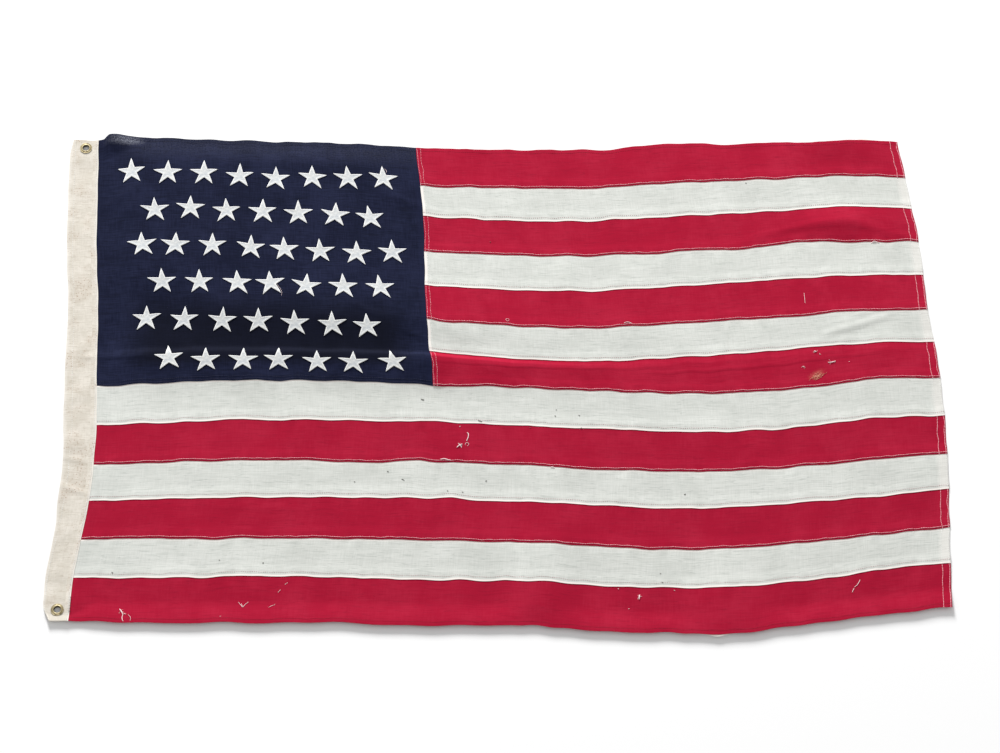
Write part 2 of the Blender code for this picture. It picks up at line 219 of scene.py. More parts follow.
@dataclass
class Laying:
    """How the flag lies on the table: the lines that it follows and the height of its folds."""

    line_drops: tuple[float, ...] = (0.0, 95.0, 190.0, 285.0, 380.0, 480.0, 580.0, 690.0, 762.0)
    hoist_line: tuple[float, ...] = (
        -588.0, -584.0, -579.0, -570.5, -566.0, -560.0, -562.0, -575.0, -578.0,
    )
    fly_line: tuple[float, ...] = (583.0, 594.0, 603.5, 606.5, 615.0, 618.5, 616.0, 610.0, 607.0)
    creep_out: tuple[float, ...] = (
        0.0, 160.0, 320.0, 460.0, 590.0, 700.0, 800.0, 900.0, 1000.0, 1090.0, 1181.0,
    )
    creep_drops: tuple[float, ...] = (0.0, 117.0, 234.0, 352.0, 410.0, 586.0, 762.0)
    creep: tuple[tuple[float, ...], ...] = (
        (8, 9, 5, -4, -8, -8, -1, 3, 5, 8, 6),
        (9, 12, 6, -5, -11, -12, -6, 0, 6, 13, 9),
        (11, 15, 10, 0, -8, -10, -4, 3, 11, 16, 17),
        (14, 19, 16, 10, -2, -6, -2, 4, 14, 23, 26),
        (16, 22, 24, 18, 15, 11, 5, 6, 14, 25, 30),
        (12, 17, 18, 16, 11, 6, 1, 4, 12, 20, 31),
        (11, 7, 8, 4, 4, -3, -8, -5, 8, 20, 31),
    )
    # Each bulge, kink and ridge: how much, its middle S and reach, its middle T and reach
    bulges: tuple[tuple[float, ...], ...] = (
        (4.6, 468, 220, 115, 150), (3, 468, 110, 395, 70),
    )
    kinks: tuple[tuple[float, ...], ...] = (
        (-2.2, 0, 34, 0, 60), (-4, 753, 46, 0, 50), (1.6, 848, 40, 0, 40),
        (-3, 936, 50, 0, 50), (-3.2, 1060, 60, 0, 50), (-3.8, 920, 60, 176, 45),
        (3, 1015, 46, 176, 45), (-2.6, 1125, 50, 176, 45), (-2.4, 500, 46, 296, 40),
        (1.7, 500, 110, 117.5, 40), (-1.6, 500, 70, 63.5, 35), (-1.7, 740, 80, 63.5, 35),
        (-2.3, 805, 64, 176, 40), (-2.2, 1078, 50, 176, 40), (-2.8, 990, 80, 296, 30),
        (-2.2, 1125, 40, 296, 30), (1.8, 900, 220, 352, 30), (1.2, 1020, 40, 352, 30),
        (-2.9, 665, 170, 413, 34), (3.2, 474, 30, 472, 30), (2.2, 1060, 110, 472, 30),
        (-2.8, 690, 76, 531, 32), (1.8, 480, 60, 590, 32), (1.7, 250, 220, 698, 30),
        (1.9, 795, 60, 698, 30), (-2.6, 495, 60, 413, 45), (2, 165, 130, 413, 40),
        (2.8, 1085, 80, 420, 55), (4.2, 452, 28, 505, 70), (-3.2, 655, 140, 490, 62),
        (-3.2, 364, 85, 530, 46), (2.6, 190, 60, 472, 40), (2.4, 1090, 90, 500, 60),
        (2.8, 60, 120, 644, 45), (1.9, 240, 60, 670, 60), (2.6, 1105, 110, 668, 60),
        (3.4, 1120, 100, 698, 30), (3, 625, 26, 762, 40), (3.6, 800, 28, 762, 40),
        (-2, 880, 50, 762, 40), (2, 195, 50, 762, 40), (1.8, 360, 60, 762, 40),
    )
    fold_out: tuple[float, ...] = (0.0, 120.0, 300.0, 460.0, 560.0, 680.0, 780.0, 900.0, 1050.0, 1181.0)
    fold_height: tuple[float, ...] = (2.0, 4.5, 6.0, 6.8, 4.0, 2.1, 1.4, 1.1, 0.9, 0.7)
    fold_start: tuple[float, float] = (-30.0, 40.0)
    fold_trough: float = 352.0
    fold_crest: float = 364.0
    fold_foot: float = 440.0
    shoulder_share: float = 0.6
    shoulder_out: tuple[float, float] = (60.0, 200.0)
    shoulder_drops: tuple[float, float, float] = (215.0, 292.0, 292.0)
    union_swell: float = 4.5
    union_swell_out: tuple[float, ...] = (4.0, 58.0, 400.0, 462.0)
    union_swell_drops: tuple[float, ...] = (2.0, 46.0, 210.0, 330.0)
    ridges: tuple[tuple[float, ...], ...] = (
        (6, 22, 34, 0, 42), (4, 1070, 130, 145, 34), (5, 632, 70, 762, 300),
        (4, 880, 80, 762, 150), (3, 1095, 75, 0, 46),
    )
    corner_start: tuple[float, float] = (7.0, 15.0)
    corner_out: tuple[float, ...] = (0.0, 40.0, 75.0, 160.0, 285.0, 380.0, 460.0)
    corner_lift: tuple[float, ...] = (8.0, 7.4, 4.2, 0.2, -1.4, 0.6, 0.0)
    corner_reach: float = 62.0
    grommet_insets: tuple[float, float] = (15.0, 747.0)
    grommet_lift: float = 1.1
    grommet_seat: float = 11.0
    grommet_spread: float = 42.0
    creases: tuple[Crease, ...] = (
        Crease((6, 118), (68, 76), 1.5, 12), Crease((408, 76), (480, 108), 1.8, 12),
        Crease((352, 272), (412, 300), 1.5, 9), Crease((430, 314), (468, 333), 1.5, 8),
        Crease((300, 205), (392, 262), 0.9, 16), Crease((930, 162), (1030, 146), 1.3, 11),
        Crease((1010, 146), (1100, 144), 1.5, 11), Crease((1080, 142), (1172, 170), 1.3, 11),
        Crease((1018, 335), (1132, 304), 2.4, 10), Crease((1040, 318), (1110, 296), 0.9, 8),
        Crease((-20, 366), (84, 369), 1.8, 6), Crease((440, 372), (820, 366), 0.9, 5),
        Crease((760, 378), (1150, 366), 0.9, 5), Crease((272, 408), (273, 480), 1.1, 7),
        Crease((398, 420), (396, 474), 0.8, 7), Crease((514, 418), (526, 740), -0.9, 9),
        Crease((564, 414), (566, 560), 1.1, 8), Crease((593, 440), (593, 745), -0.9, 9),
        Crease((621, 408), (624, 500), 0.8, 7), Crease((884, 412), (886, 486), 1, 8),
        Crease((901, 240), (903, 300), 0.9, 8), Crease((700, 240), (702, 296), 0.7, 10),
        Crease((150, 596), (330, 604), 0.6, 9), Crease((640, 470), (900, 455), 0.6, 12),
        Crease((-40, 552), (10, 574), -0.9, 5), Crease((-40, 560), (10, 582), 0.9, 5),
        Crease((-40, 520), (-8, 528), 0.7, 6),
    )
    crease_share: float = 0.46
    ground: float = 0.7
    unrest: float = 0.42
    swell: Ripples = Ripples(seed=11, count=18, shortest=55.0, longest=150.0)
    bite: Ripples = Ripples(seed=23, count=9, shortest=19.0, longest=46.0, spread=0.5)
    wander: Ripples = Ripples(seed=31, count=9, shortest=42.0, longest=120.0, spread=0.9)
    pinch: float = 0.28
    pinch_reach: float = 15.0
    wander_by: float = 0.7
    edge_height: float = 5.0
    edge_reach: float = 34.0
    shift: tuple[float, float] = (0.0, 0.0)

    def old_fold(self, s: Array, t: Array) -> Array:
        """Height of the old half fold, which runs the length of the flag."""
        height = through(self.fold_out, self.fold_height, s) * smooth(*self.fold_start, s)
        lower = plateau((self.fold_trough, self.fold_crest, self.fold_crest, self.fold_foot), t)
        shoulder = plateau((*self.shoulder_drops, self.fold_trough), t) * smooth(*self.shoulder_out, s)
        return height * np.where(t >= self.fold_trough, lower, self.shoulder_share * shoulder)

    def main_relief(self, s: Array, t: Array) -> Array:
        """Height of the folds that the solids have too."""
        swell = self.union_swell * plateau(self.union_swell_out, s) * plateau(self.union_swell_drops, t)
        ridges = np.max([swell, *(hump(ridge, s, t) for ridge in self.ridges)], axis=0)
        away = np.min([np.abs(t - centre) for centre in self.grommet_insets], axis=0)
        seat = 1.0 - smooth(self.grommet_seat, self.grommet_spread, away)
        seat *= 1.0 - smooth(-CUT.tuck, self.grommet_spread, s)
        return ridges + self.old_fold(s, t) + self.grommet_lift * seat

    def corner(self, s: Array, t: Array) -> Array:
        """How far the union's top edge is pushed up the table, past the heading."""
        lift = through(self.corner_out, self.corner_lift, s) * smooth(*self.corner_start, s)
        return lift * (1.0 - smooth(0.0, self.corner_reach, t)) * (s < self.corner_out[-1])

    def fine_relief(self, s: Array, t: Array) -> Array:
        """Height of the creases, the loose swell of the cloth and the pinching along each seam."""
        creases = self.crease_share * sum(crease.at(s, t) for crease in self.creases)
        seam = np.min([np.abs(t - drop) for drop in CUT.seams], axis=0)
        union_edge = np.abs(s - CUT.union_fly) + 300.0 * (t > CUT.union_hoist)
        bitten = np.maximum(bell(seam, self.pinch_reach), bell(union_edge, self.pinch_reach))
        pinched = self.pinch * bitten * self.bite.height(s, 0.35 * t)
        loose = self.unrest * self.swell.height(s, t)
        fine = np.maximum(self.ground + creases + loose + pinched, 0.0)
        return fine * smooth(-CUT.tuck - 4.0, 14.0, s) * smooth(0.0, 10.0, CUT.fly + 8.0 - s)

    def relief(self, s: Array, t: Array) -> Array:
        """How far the cloth's underside stands off the table, in millimetres."""
        height = self.main_relief(s, t) + self.fine_relief(s, t)
        off_heading = smooth(-2.0, 40.0, s)
        reach = self.edge_reach * (0.3 + 0.7 * off_heading)
        edge = smooth(0.0, 1.0, 1.0 - (CUT.hoist - t) / reach)
        lifted = self.edge_height * (0.6 + 0.4 * off_heading)
        return height + edge * (np.maximum(lifted, self.main_relief(s, t)) - height)

    def traced(self, s: Array, t: Array) -> tuple[Array, Array, Array]:
        """X of the hoist line and the fly line at T, and how far the cloth has crept up the table."""
        hoist, fly = (through(self.line_drops, line, t) for line in (self.hoist_line, self.fly_line))
        rows = [through(self.creep_out, row, s) for row in self.creep]
        return hoist, fly, through(self.creep_drops, rows, t)

    def points(self, s: Array, t: Array, above: Any = 0.0) -> Array:
        """Lay places on the table.

        Args:
            s: Millimetres out from the heading.
            t: Millimetres down from the top edge.
            above: Millimetres above the cloth's underside.

        Returns:
            One point a row, in metres in the frame of the solids.
        """
        s, t = np.asarray(s, float), np.asarray(t, float)
        hoist, fly, creep = self.traced(s, t)
        creep = creep + self.corner(s, t)
        creep = creep + sum(hump(kink, s, t) for kink in self.kinks)
        creep = creep + self.wander_by * self.wander.height(s, 0.6 * t) * smooth(-10.0, 30.0, s)
        sway = 0.5 * self.wander_by * self.wander.height(t + 400.0, 0.5 * s)
        bulge = sum(hump(bulge, s, t) for bulge in self.bulges)
        x = hoist + s * (fly - hoist) / CUT.fly + bulge + sway
        y = CUT.hoist / 2.0 - t + creep
        z = self.relief(s, t)
        lean = np.stack([z - self.relief(s + 1.0, t), self.relief(s, t + 1.0) - z, np.ones_like(z)], 1)
        lean /= np.linalg.norm(lean, axis=1)[:, None]
        base = np.stack([x + self.shift[0], y + self.shift[1], z], 1)
        return (base + np.asarray(above, float).reshape(-1, 1) * lean) * MM

    def under(self, node: str, s: float, t: float) -> Place:
        """The place on the cloth at the middle of a node's box, found from a first guess."""
        low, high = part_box(node)
        for _ in range(12):
            point = self.points(np.array([s]), np.array([t]))[0]
            s += 0.9 * ((low.x + high.x) / 2.0 - point[0]) / MM
            t -= 0.9 * ((low.y + high.y) / 2.0 - point[1]) / MM
        return s, t

    def place_by(self, node: str, s: float, t: float) -> None:
        """Shift the laying so that the place S, T is at the middle of a node's box."""
        low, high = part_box(node)
        hoist, fly, creep = (float(value[0]) for value in self.traced(np.array([s]), np.array([t])))
        x = hoist + s * (fly - hoist) / CUT.fly
        y = CUT.hoist / 2.0 - t + creep
        middle = (low + high) / 2.0 / MM
        self.shift = (middle.x - x, middle.y - y)


# Finishes


def linear(hex_colour: str) -> tuple[float, float, float, float]:
    """Turn an sRGB hex colour into Blender's linear one."""
    shares = [int(hex_colour[i : i + 2], 16) / 255.0 for i in (1, 3, 5)]
    turned = [c / 12.92 if c <= 0.04045 else ((c + 0.055) / 1.055) ** 2.4 for c in shares]
    return (*turned, 1.0)


def fill(node: Any, inputs: dict) -> None:
    """Set a node's inputs, by name or number, each to a value or to another node's output."""
    for key, value in inputs.items():
        if isinstance(value, bpy.types.NodeSocket):
            node.id_data.links.new(value, node.inputs[key])
        else:
            node.inputs[key].default_value = value


def add_node(tree: bpy.types.NodeTree, kind: str, inputs: Optional[dict] = None, **settings: Any) -> Any:
    """Add one node.

    Args:
        tree: The tree that gets it.
        kind: The node's type.
        inputs: A value, or another node's output, for each input by name or number.
        **settings: The node's own properties.

    Returns:
        The node.
    """
    made = tree.nodes.new(kind)
    for name, value in settings.items():
        setattr(made, name, value)
    fill(made, inputs or {})
    return made


def painted(tree: bpy.types.NodeTree, base: str, coats: Sequence[tuple[Any, str]]) -> Any:
    """Lay coats of colour over a base.

    Args:
        tree: The material's tree.
        base: The base's sRGB hex colour.
        coats: Each coat's share, as a node's output, and its sRGB hex colour, the lowest first.

    Returns:
        The output that holds the colour.
    """
    ground: Any = linear(base)
    for share, colour in coats:
        layers = {0: share, 6: ground, 7: linear(colour)}
        ground = add_node(tree, "ShaderNodeMix", layers, data_type="RGBA").outputs[2]
    return ground


def blank_material(name: str) -> tuple[bpy.types.Material, Any]:
    """A new material with its Principled shader."""
    material = bpy.data.materials.new(name)
    material.use_nodes = True
    return material, material.node_tree.nodes["Principled BSDF"]


@dataclass(frozen=True)
class PlainWeave:
    """A plain-woven cloth: one thread over, one under. The eye sees a fine square grain, with slubs,
    which are thicker stretches of thread, running both ways, and here and there one dark thread. It
    is matt, with a faint bloom from the wool's loose fibres.
    """

    name: str
    colour: str
    pale: str
    # The deep colour is odd threads and weave gaps, and also painted shade on the union's fold and a
    # darker tone on the lower red stripes. The turned colour is doubled cloth, and on red it is painted
    # shade.
    deep_and_shade: str
    turned: str
    rubbed: str
    size: Place = (CUT.fly, CUT.hoist)
    thread: float = 1.6
    slub: float = 1.5
    slub_long: float = 34.0
    slub_share: float = 0.8
    odd_thread: float = 0.45
    mottle: float = 58.0
    mottle_share: float = 0.35
    grain: float = 0.25
    roughness: float = 0.88
    specular: float = 0.08
    sheen: float = 0.03
    bump: float = 0.30

    def build(self) -> bpy.types.Material:
        """Make the material. It reads the piece's UV map, which is the flat cloth."""
        material, shader = blank_material(self.name)
        tree = material.node_tree
        uv = add_node(tree, "ShaderNodeUVMap", uv_map="cloth")
        scaled = {0: uv.outputs["UV"], 1: (*self.size, 1.0)}
        flat = add_node(tree, "ShaderNodeVectorMath", scaled, operation="MULTIPLY").outputs[0]
        out_run, drop_run = self.slubs(tree, flat, 0.0, False), self.slubs(tree, flat, 37.0, True)
        runs = {"Factor": 0.44, "A": out_run, "B": drop_run}
        slub = add_node(tree, "ShaderNodeMix", runs, data_type="FLOAT").outputs["Result"]
        grain = self.grain_height(tree, flat)
        # A Map Range node's inputs are its value, the range it comes from and the range it goes to
        share = add_node(tree, "ShaderNodeMapRange", {0: slub, 1: 0.38, 2: 0.62, 4: self.slub_share})
        broad = add_node(
            tree, "ShaderNodeTexNoise",
            {"Vector": flat, "Scale": 1.0 / self.mottle, "Detail": 4.0, "Roughness": 0.6},
            noise_dimensions="2D",
        )
        lift = add_node(
            tree, "ShaderNodeMapRange",
            {0: broad.outputs["Fac"], 1: 0.3, 2: 0.7, 3: -self.mottle_share, 4: self.mottle_share},
        )
        both = {0: share.outputs[0], 1: lift.outputs[0]}
        streaks = add_node(tree, "ShaderNodeMath", both, operation="ADD", use_clamp=True)
        gap = add_node(tree, "ShaderNodeMapRange", {0: grain, 1: 0.0, 2: 0.35, 3: self.grain, 4: 0.0})
        turned = add_node(tree, "ShaderNodeAttribute", attribute_name="turned")
        kept = add_node(tree, "ShaderNodeAttribute", attribute_name="kept")
        # The turned coat is doubled cloth, with painted shade on red and a painted highlight at the
        # white's top; the kept coat is painted shade on the union and a darker tone on the lower red
        # stripes.
        colour = painted(tree, self.colour, [
            (streaks.outputs[0], self.pale), (self.odd_threads(tree, flat), self.deep_and_shade),
            (gap.outputs[0], self.deep_and_shade), (turned.outputs["Fac"], self.turned),
            (kept.outputs["Fac"], self.deep_and_shade), *self.aged(tree, flat),
        ])
        halves = {"Factor": 0.5, "A": grain, "B": slub}
        height = add_node(tree, "ShaderNodeMix", halves, data_type="FLOAT")
        relief = add_node(
            tree, "ShaderNodeBump",
            {"Height": height.outputs["Result"], "Strength": self.bump, "Distance": 0.5 * MM},
        )
        fill(shader, {
            "Base Color": colour, "Normal": relief.outputs[0], "Roughness": self.roughness,
            "Specular IOR Level": self.specular, "Sheen Weight": self.sheen,
            "Sheen Tint": linear(self.pale), "Sheen Roughness": 0.5,
        })
        return material

    def slubs(self, tree: bpy.types.NodeTree, flat: Any, shift: float, upright: bool) -> Any:
        """Long thin streaks along one set of threads."""
        long, thin = 1.0 / self.slub_long, 1.0 / self.slub
        scale = (thin, 1.3 * long, 1.0) if upright else (long, thin, 1.0)
        run = add_node(
            tree, "ShaderNodeMapping", {"Vector": flat, "Location": (shift, shift, 0.0), "Scale": scale}
        )
        return add_node(
            tree, "ShaderNodeTexNoise",
            {"Vector": run.outputs[0], "Scale": 1.0, "Detail": 2.5, "Roughness": 0.65},
            noise_dimensions="2D",
        ).outputs["Fac"]

    def odd_threads(self, tree: bpy.types.NodeTree, flat: Any) -> Any:
        """A few threads that took the dye or the dirt more deeply than the rest."""
        scale = (0.5 / self.slub_long, 0.5 / self.slub, 1.0)
        run = add_node(
            tree, "ShaderNodeMapping", {"Vector": flat, "Location": (5.0, 91.0, 0.0), "Scale": scale}
        )
        level = add_node(
            tree, "ShaderNodeTexNoise",
            {"Vector": run.outputs[0], "Scale": 1.0, "Detail": 2.0, "Roughness": 0.5},
            noise_dimensions="2D",
        ).outputs["Fac"]
        away = add_node(tree, "ShaderNodeMath", {0: level, 1: 0.53}, operation="SUBTRACT").outputs[0]
        away = add_node(tree, "ShaderNodeMath", {0: away}, operation="ABSOLUTE").outputs[0]
        limits = {0: away, 1: 0.008, 2: 0.028, 3: self.odd_thread, 4: 0.0}
        return add_node(tree, "ShaderNodeMapRange", limits).outputs[0]

    def grain_height(self, tree: bpy.types.NodeTree, flat: Any) -> Any:
        """The height of the weave: high where threads cross, low between them."""
        # The real threads are about 0.9 mm apart, too fine to show, so they are drawn coarser
        period = 2.0 * math.pi / 20.0 / self.thread
        weave = []
        for direction in ("X", "Y"):
            wave = add_node(
                tree, "ShaderNodeTexWave",
                {"Vector": flat, "Scale": period, "Distortion": 0.8, "Detail": 1.0, "Detail Scale": 0.4},
                wave_type="BANDS", bands_direction=direction, wave_profile="SIN",
            )
            weave.append(wave.outputs["Fac"])
        crossed = add_node(tree, "ShaderNodeMath", {0: weave[0], 1: weave[1]}, operation="MULTIPLY")
        return crossed.outputs[0]

    def aged(self, tree: bpy.types.NodeTree, flat: Any) -> list[tuple[Any, str]]:
        """The coat that rubs the cloth pale where it is worn."""
        worn = add_node(tree, "ShaderNodeAttribute", attribute_name="worn").outputs["Fac"]
        fibre = add_node(
            tree, "ShaderNodeTexNoise", {"Vector": flat, "Scale": 0.5, "Detail": 3.0, "Roughness": 0.7},
            noise_dimensions="2D",
        ).outputs["Fac"]
        patchy = add_node(tree, "ShaderNodeMapRange", {0: fibre, 1: 0.40, 2: 0.60, 3: 0.1}).outputs[0]
        share = add_node(tree, "ShaderNodeMath", {0: worn, 1: patchy}, operation="MULTIPLY").outputs[0]
        return [(share, self.rubbed)]


@dataclass(frozen=True)
class SpottedCanvas(PlainWeave):
    """Heavy cotton canvas, unbleached, with the small rust-brown spots that damp storage leaves."""

    spot: str = "#9A7450"
    spot_apart: float = 5.2
    zone_wide: float = 34.0
    blush: float = 0.14

    def aged(self, tree: bpy.types.NodeTree, flat: Any) -> list[tuple[Any, str]]:
        """The coats of brown: a faint blush and small spots, thick in places and sparse in others."""
        cells = add_node(
            tree, "ShaderNodeTexVoronoi",
            {"Vector": flat, "Scale": 1.0 / self.spot_apart, "Randomness": 1.0},
            voronoi_dimensions="2D",
        ).outputs["Distance"]
        limits = {0: cells, 1: 0.06, 2: 0.17, 3: 1.0, 4: 0.0}
        near = add_node(tree, "ShaderNodeMapRange", limits).outputs[0]
        zone = add_node(
            tree, "ShaderNodeTexNoise", {"Vector": flat, "Scale": 1.0 / self.zone_wide, "Detail": 2.0},
            noise_dimensions="2D",
        ).outputs["Fac"]
        thick = add_node(tree, "ShaderNodeMapRange", {0: zone, 1: 0.48, 2: 0.66, 4: 0.7}).outputs[0]
        share, blush = (
            add_node(tree, "ShaderNodeMath", {0: one, 1: other}, operation="MULTIPLY").outputs[0]
            for one, other in ((near, thick), (thick, self.blush))
        )
        return [(blush, self.spot), (share, self.spot)]


@dataclass(frozen=True)
class SpunThread:
    """Cotton sewing thread: matt, two plies twisted together, slightly uneven in colour."""

    name: str
    colour: str
    shade: str

    def build(self) -> bpy.types.Material:
        """Make the material, from the place of the thread alone."""
        material, shader = blank_material(self.name)
        tree = material.node_tree
        place = add_node(tree, "ShaderNodeTexCoord").outputs["Object"]
        uneven = add_node(
            tree, "ShaderNodeTexNoise", {"Vector": place, "Scale": 160.0, "Detail": 2.0}
        ).outputs["Fac"]
        twist = add_node(tree, "ShaderNodeTexWave", {"Vector": place, "Scale": 700.0, "Distortion": 1.0})
        height = {"Height": twist.outputs["Fac"], "Strength": 0.3, "Distance": 0.1 * MM}
        relief = add_node(tree, "ShaderNodeBump", height)
        fill(shader, {
            "Base Color": painted(tree, self.colour, [(uneven, self.shade)]),
            "Normal": relief.outputs[0], "Roughness": 0.8, "Sheen Weight": 0.1,
        })
        return material


@dataclass(frozen=True)
class DullBrass:
    """Stamped brass that has dulled: a soft grey-gold metal, brown with tarnish, and near black inside
    the hole as painted shade.
    """

    name: str = "dulled stamped brass"
    metal: str = "#BBAE8B"
    tarnish: str = "#5C4E36"
    # Near black inside the hole: painted shade
    bore_shade: str = "#1E1810"

    def build(self) -> bpy.types.Material:
        """Make the material, from the place on the brass alone."""
        material, shader = blank_material(self.name)
        tree = material.node_tree
        place = add_node(tree, "ShaderNodeTexCoord").outputs["Object"]
        mottle = {"Vector": place, "Scale": 330.0, "Detail": 4.0, "Roughness": 0.6}
        cloud = add_node(tree, "ShaderNodeTexNoise", mottle).outputs["Fac"]
        share = add_node(tree, "ShaderNodeMapRange", {0: cloud, 1: 0.42, 2: 0.68, 4: 0.8}).outputs[0]
        limits = {0: cloud, 1: 0.3, 2: 0.7, 3: 0.42, 4: 0.65}
        rough = add_node(tree, "ShaderNodeMapRange", limits).outputs[0]
        inside = add_node(tree, "ShaderNodeAttribute", attribute_name="bore_shade").outputs["Fac"]
        scratch = add_node(
            tree, "ShaderNodeTexNoise", {"Vector": place, "Scale": 1500.0, "Detail": 2.0}
        ).outputs["Fac"]
        relief = add_node(
            tree, "ShaderNodeBump", {"Height": scratch, "Strength": 0.15, "Distance": 0.05 * MM}
        )
        fill(shader, {
            "Base Color": painted(tree, self.metal, [(share, self.tarnish), (inside, self.bore_shade)]),
            "Normal": relief.outputs[0], "Roughness": rough, "Metallic": 0.85,
        })
        return material


class Finishes:
    """Every material of the flag, made once."""

    def __init__(self) -> None:
        """Build the materials."""
        # The red's turned colour is painted shade along its folded lower edge and under the white's
        # edge; its deep colour also darkens the lower red stripes.
        self.red = PlainWeave(
            "red wool bunting", "#AC1132", "#BA2340", "#7E0D28", "#860F29", "#DD9C82",
            grain=0.2, slub_share=0.5, odd_thread=0.3,
        ).build()
        self.white = PlainWeave(
            "white wool bunting", "#D3D5CF", "#EAEBE6", "#AFB4AE", "#F9F1EB", "#C9B9A4",
            grain=0.34, odd_thread=0.5, slub_share=0.66, mottle_share=0.2,
        ).build()
        # The blue's deep colour is also painted shade on the union, where the old fold's shoulder falls
        # away.
        self.blue = PlainWeave(
            "blue wool bunting", "#131830", "#242945", "#080A16", "#1B203B", "#B4B7C6",
            grain=0.3, slub_share=0.8,
        ).build()
        self.star = PlainWeave(
            "star cotton", "#D1D5D8", "#EBEBE7", "#AAB0B4", "#FAFAF8", "#C2BFB8",
            size=(STAR_WIDE, STAR_WIDE), thread=1.0, slub=1.5, slub_long=9.0, mottle=7.0,
            mottle_share=0.6, bump=0.5,
        ).build()
        self.canvas = SpottedCanvas(
            "unbleached heading canvas", "#D9D3C7", "#ECE6DC", "#B8AD9C", "#F5F1EA", "#94704C",
            thread=1.4, slub=1.8, slub_long=16.0, bump=0.5, mottle=24.0, mottle_share=0.45,
        ).build()
        self.pale_thread = SpunThread("undyed cotton thread", "#FFC8CF", "#F896A8").build()
        self.pink_thread = SpunThread("thread stained by red dye", "#C9808A", "#A9606E").build()
        self.red_thread = SpunThread("red cotton thread", "#A81837", "#94122F").build()
        self.blue_thread = SpunThread("blue cotton thread", "#2A2F52", "#14183A").build()
        self.white_thread = SpunThread("white cotton thread", "#FFFFFC", "#ECEEEE").build()
        self.dark_thread = SpunThread("dark mending thread", "#3B2A2A", "#241A1E").build()
        self.frayed = SpunThread("frayed white fibres", "#FFF4F2", "#FFD9DC").build()
        self.lint = SpunThread("grey lint", "#7B7873", "#52504D").build()
        self.darn = SpunThread("tan darning wool", "#EDB295", "#C4604E").build()
        self.brass = DullBrass().build()


# Making pieces


def put(name: str, data: Any) -> bpy.types.Object:
    """A new object in the scene, with the given mesh, curve, light or camera."""
    made = bpy.data.objects.new(name, data)
    bpy.context.scene.collection.objects.link(made)
    return made


def mark(mesh: bpy.types.Mesh, name: str, values: Array) -> None:
    """Give each point of a mesh a number that its material reads."""
    layer = mesh.attributes.new(name, "FLOAT", "POINT")
    layer.data.foreach_set("value", np.asarray(values, np.float32))


def show(name: str, mesh: bpy.types.Mesh, material: bpy.types.Material) -> bpy.types.Object:
    """Put a finished mesh in the scene as a piece that rides on the flag."""
    mesh.name = name
    mesh.materials.clear()
    mesh.materials.append(material)
    piece = put(name, mesh)
    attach(piece, BODY)
    return piece


def settled(guide: bpy.types.Object) -> bpy.types.Mesh:
    """The mesh that an object's modifiers or bevel give. The object itself is removed."""
    bpy.context.view_layer.update()
    graph = bpy.context.evaluated_depsgraph_get()
    mesh = bpy.data.meshes.new_from_object(guide.evaluated_get(graph))
    bpy.data.objects.remove(guide)
    return mesh


def grid_faces(rows: int, columns: int) -> Array:
    """The four points of each square in a grid whose points run row by row."""
    corner = (np.arange(rows - 1)[:, None] * columns + np.arange(columns - 1)[None, :]).ravel()
    return np.stack([corner, corner + columns, corner + columns + 1, corner + 1], 1)


def cut_away(faces: Array, gone: Array, *values: Array) -> tuple[Array, ...]:
    """Drop some faces, and the points that no face then has.

    Args:
        faces: Each face's points.
        gone: Whether each face is dropped.
        *values: Arrays with one value for each point.

    Returns:
        The faces that stay, with their points numbered anew, and each array without the lost points.
    """
    kept = faces[~gone]
    used, numbers = np.unique(kept, return_inverse=True)
    return (numbers.reshape(kept.shape), *(value[used] for value in values))


def on_flag(s: Array, t: Array) -> Array:
    """Each place as a share of the flag's length and height, for the UV map."""
    return np.stack([s / CUT.fly, 1.0 - t / CUT.hoist], 1)


def cloth_mesh(
    points: Array, faces: Array, flat: Array, marks: dict[str, Array], thick: float
) -> bpy.types.Mesh:
    """A closed thin sheet of cloth.

    Args:
        points: The underside's points, in metres.
        faces: Each face's four or three points.
        flat: Each point's place on the flat cloth, from 0 to 1 both ways.
        marks: How much each point shows each mark, turned, worn and kept, from 0 to 1; turned and kept
            carry painted shade too. What isn't given is 0.
        thick: The cloth's thickness in millimetres, given upwards.

    Returns:
        The mesh, with a UV map named cloth.
    """
    mesh = bpy.data.meshes.new("cloth")
    mesh.from_pydata(points.tolist(), [], faces.tolist())
    layer = mesh.uv_layers.new(name="cloth")
    corners = np.empty(len(mesh.loops), np.int32)
    mesh.loops.foreach_get("vertex_index", corners)
    layer.data.foreach_set("uv", flat[corners].astype(np.float32).ravel())
    for name in ("turned", "worn", "kept"):
        mark(mesh, name, np.full(len(points), marks.get(name, 0.0)))
    guide = put("cloth", mesh)
    solid = guide.modifiers.new("Cloth", "SOLIDIFY")
    solid.thickness = thick * MM
    solid.offset = 1.0
    made = settled(guide)
    made.shade_smooth()
    made.set_sharp_from_angle(angle=math.radians(60.0))
    return made


def stations(breaks: Iterable[float], pitch: float, fine: Iterable[tuple[float, float]] = ()) -> Array:
    """Stations that include every break, no more than a pitch apart, with finer stretches.

    Args:
        breaks: Stations that must be there.
        pitch: The widest step.
        fine: The middle and half width of each stretch with steps of 0.7 mm.

    Returns:
        The stations in rising order.
    """
    marks = sorted(set(breaks))
    found = [marks[0]]
    for a, b in zip(marks, marks[1:]):
        count = max(1, math.ceil((b - a) / pitch - 0.01))
        found += [a + (b - a) * k / count for k in range(1, count + 1)]
    extra = [x for middle, half in fine for x in np.arange(middle - half, middle + half, 0.7)]
    extra = [x for x in extra if marks[0] < x < marks[-1]]
    return np.unique(np.round(found + extra, 3))


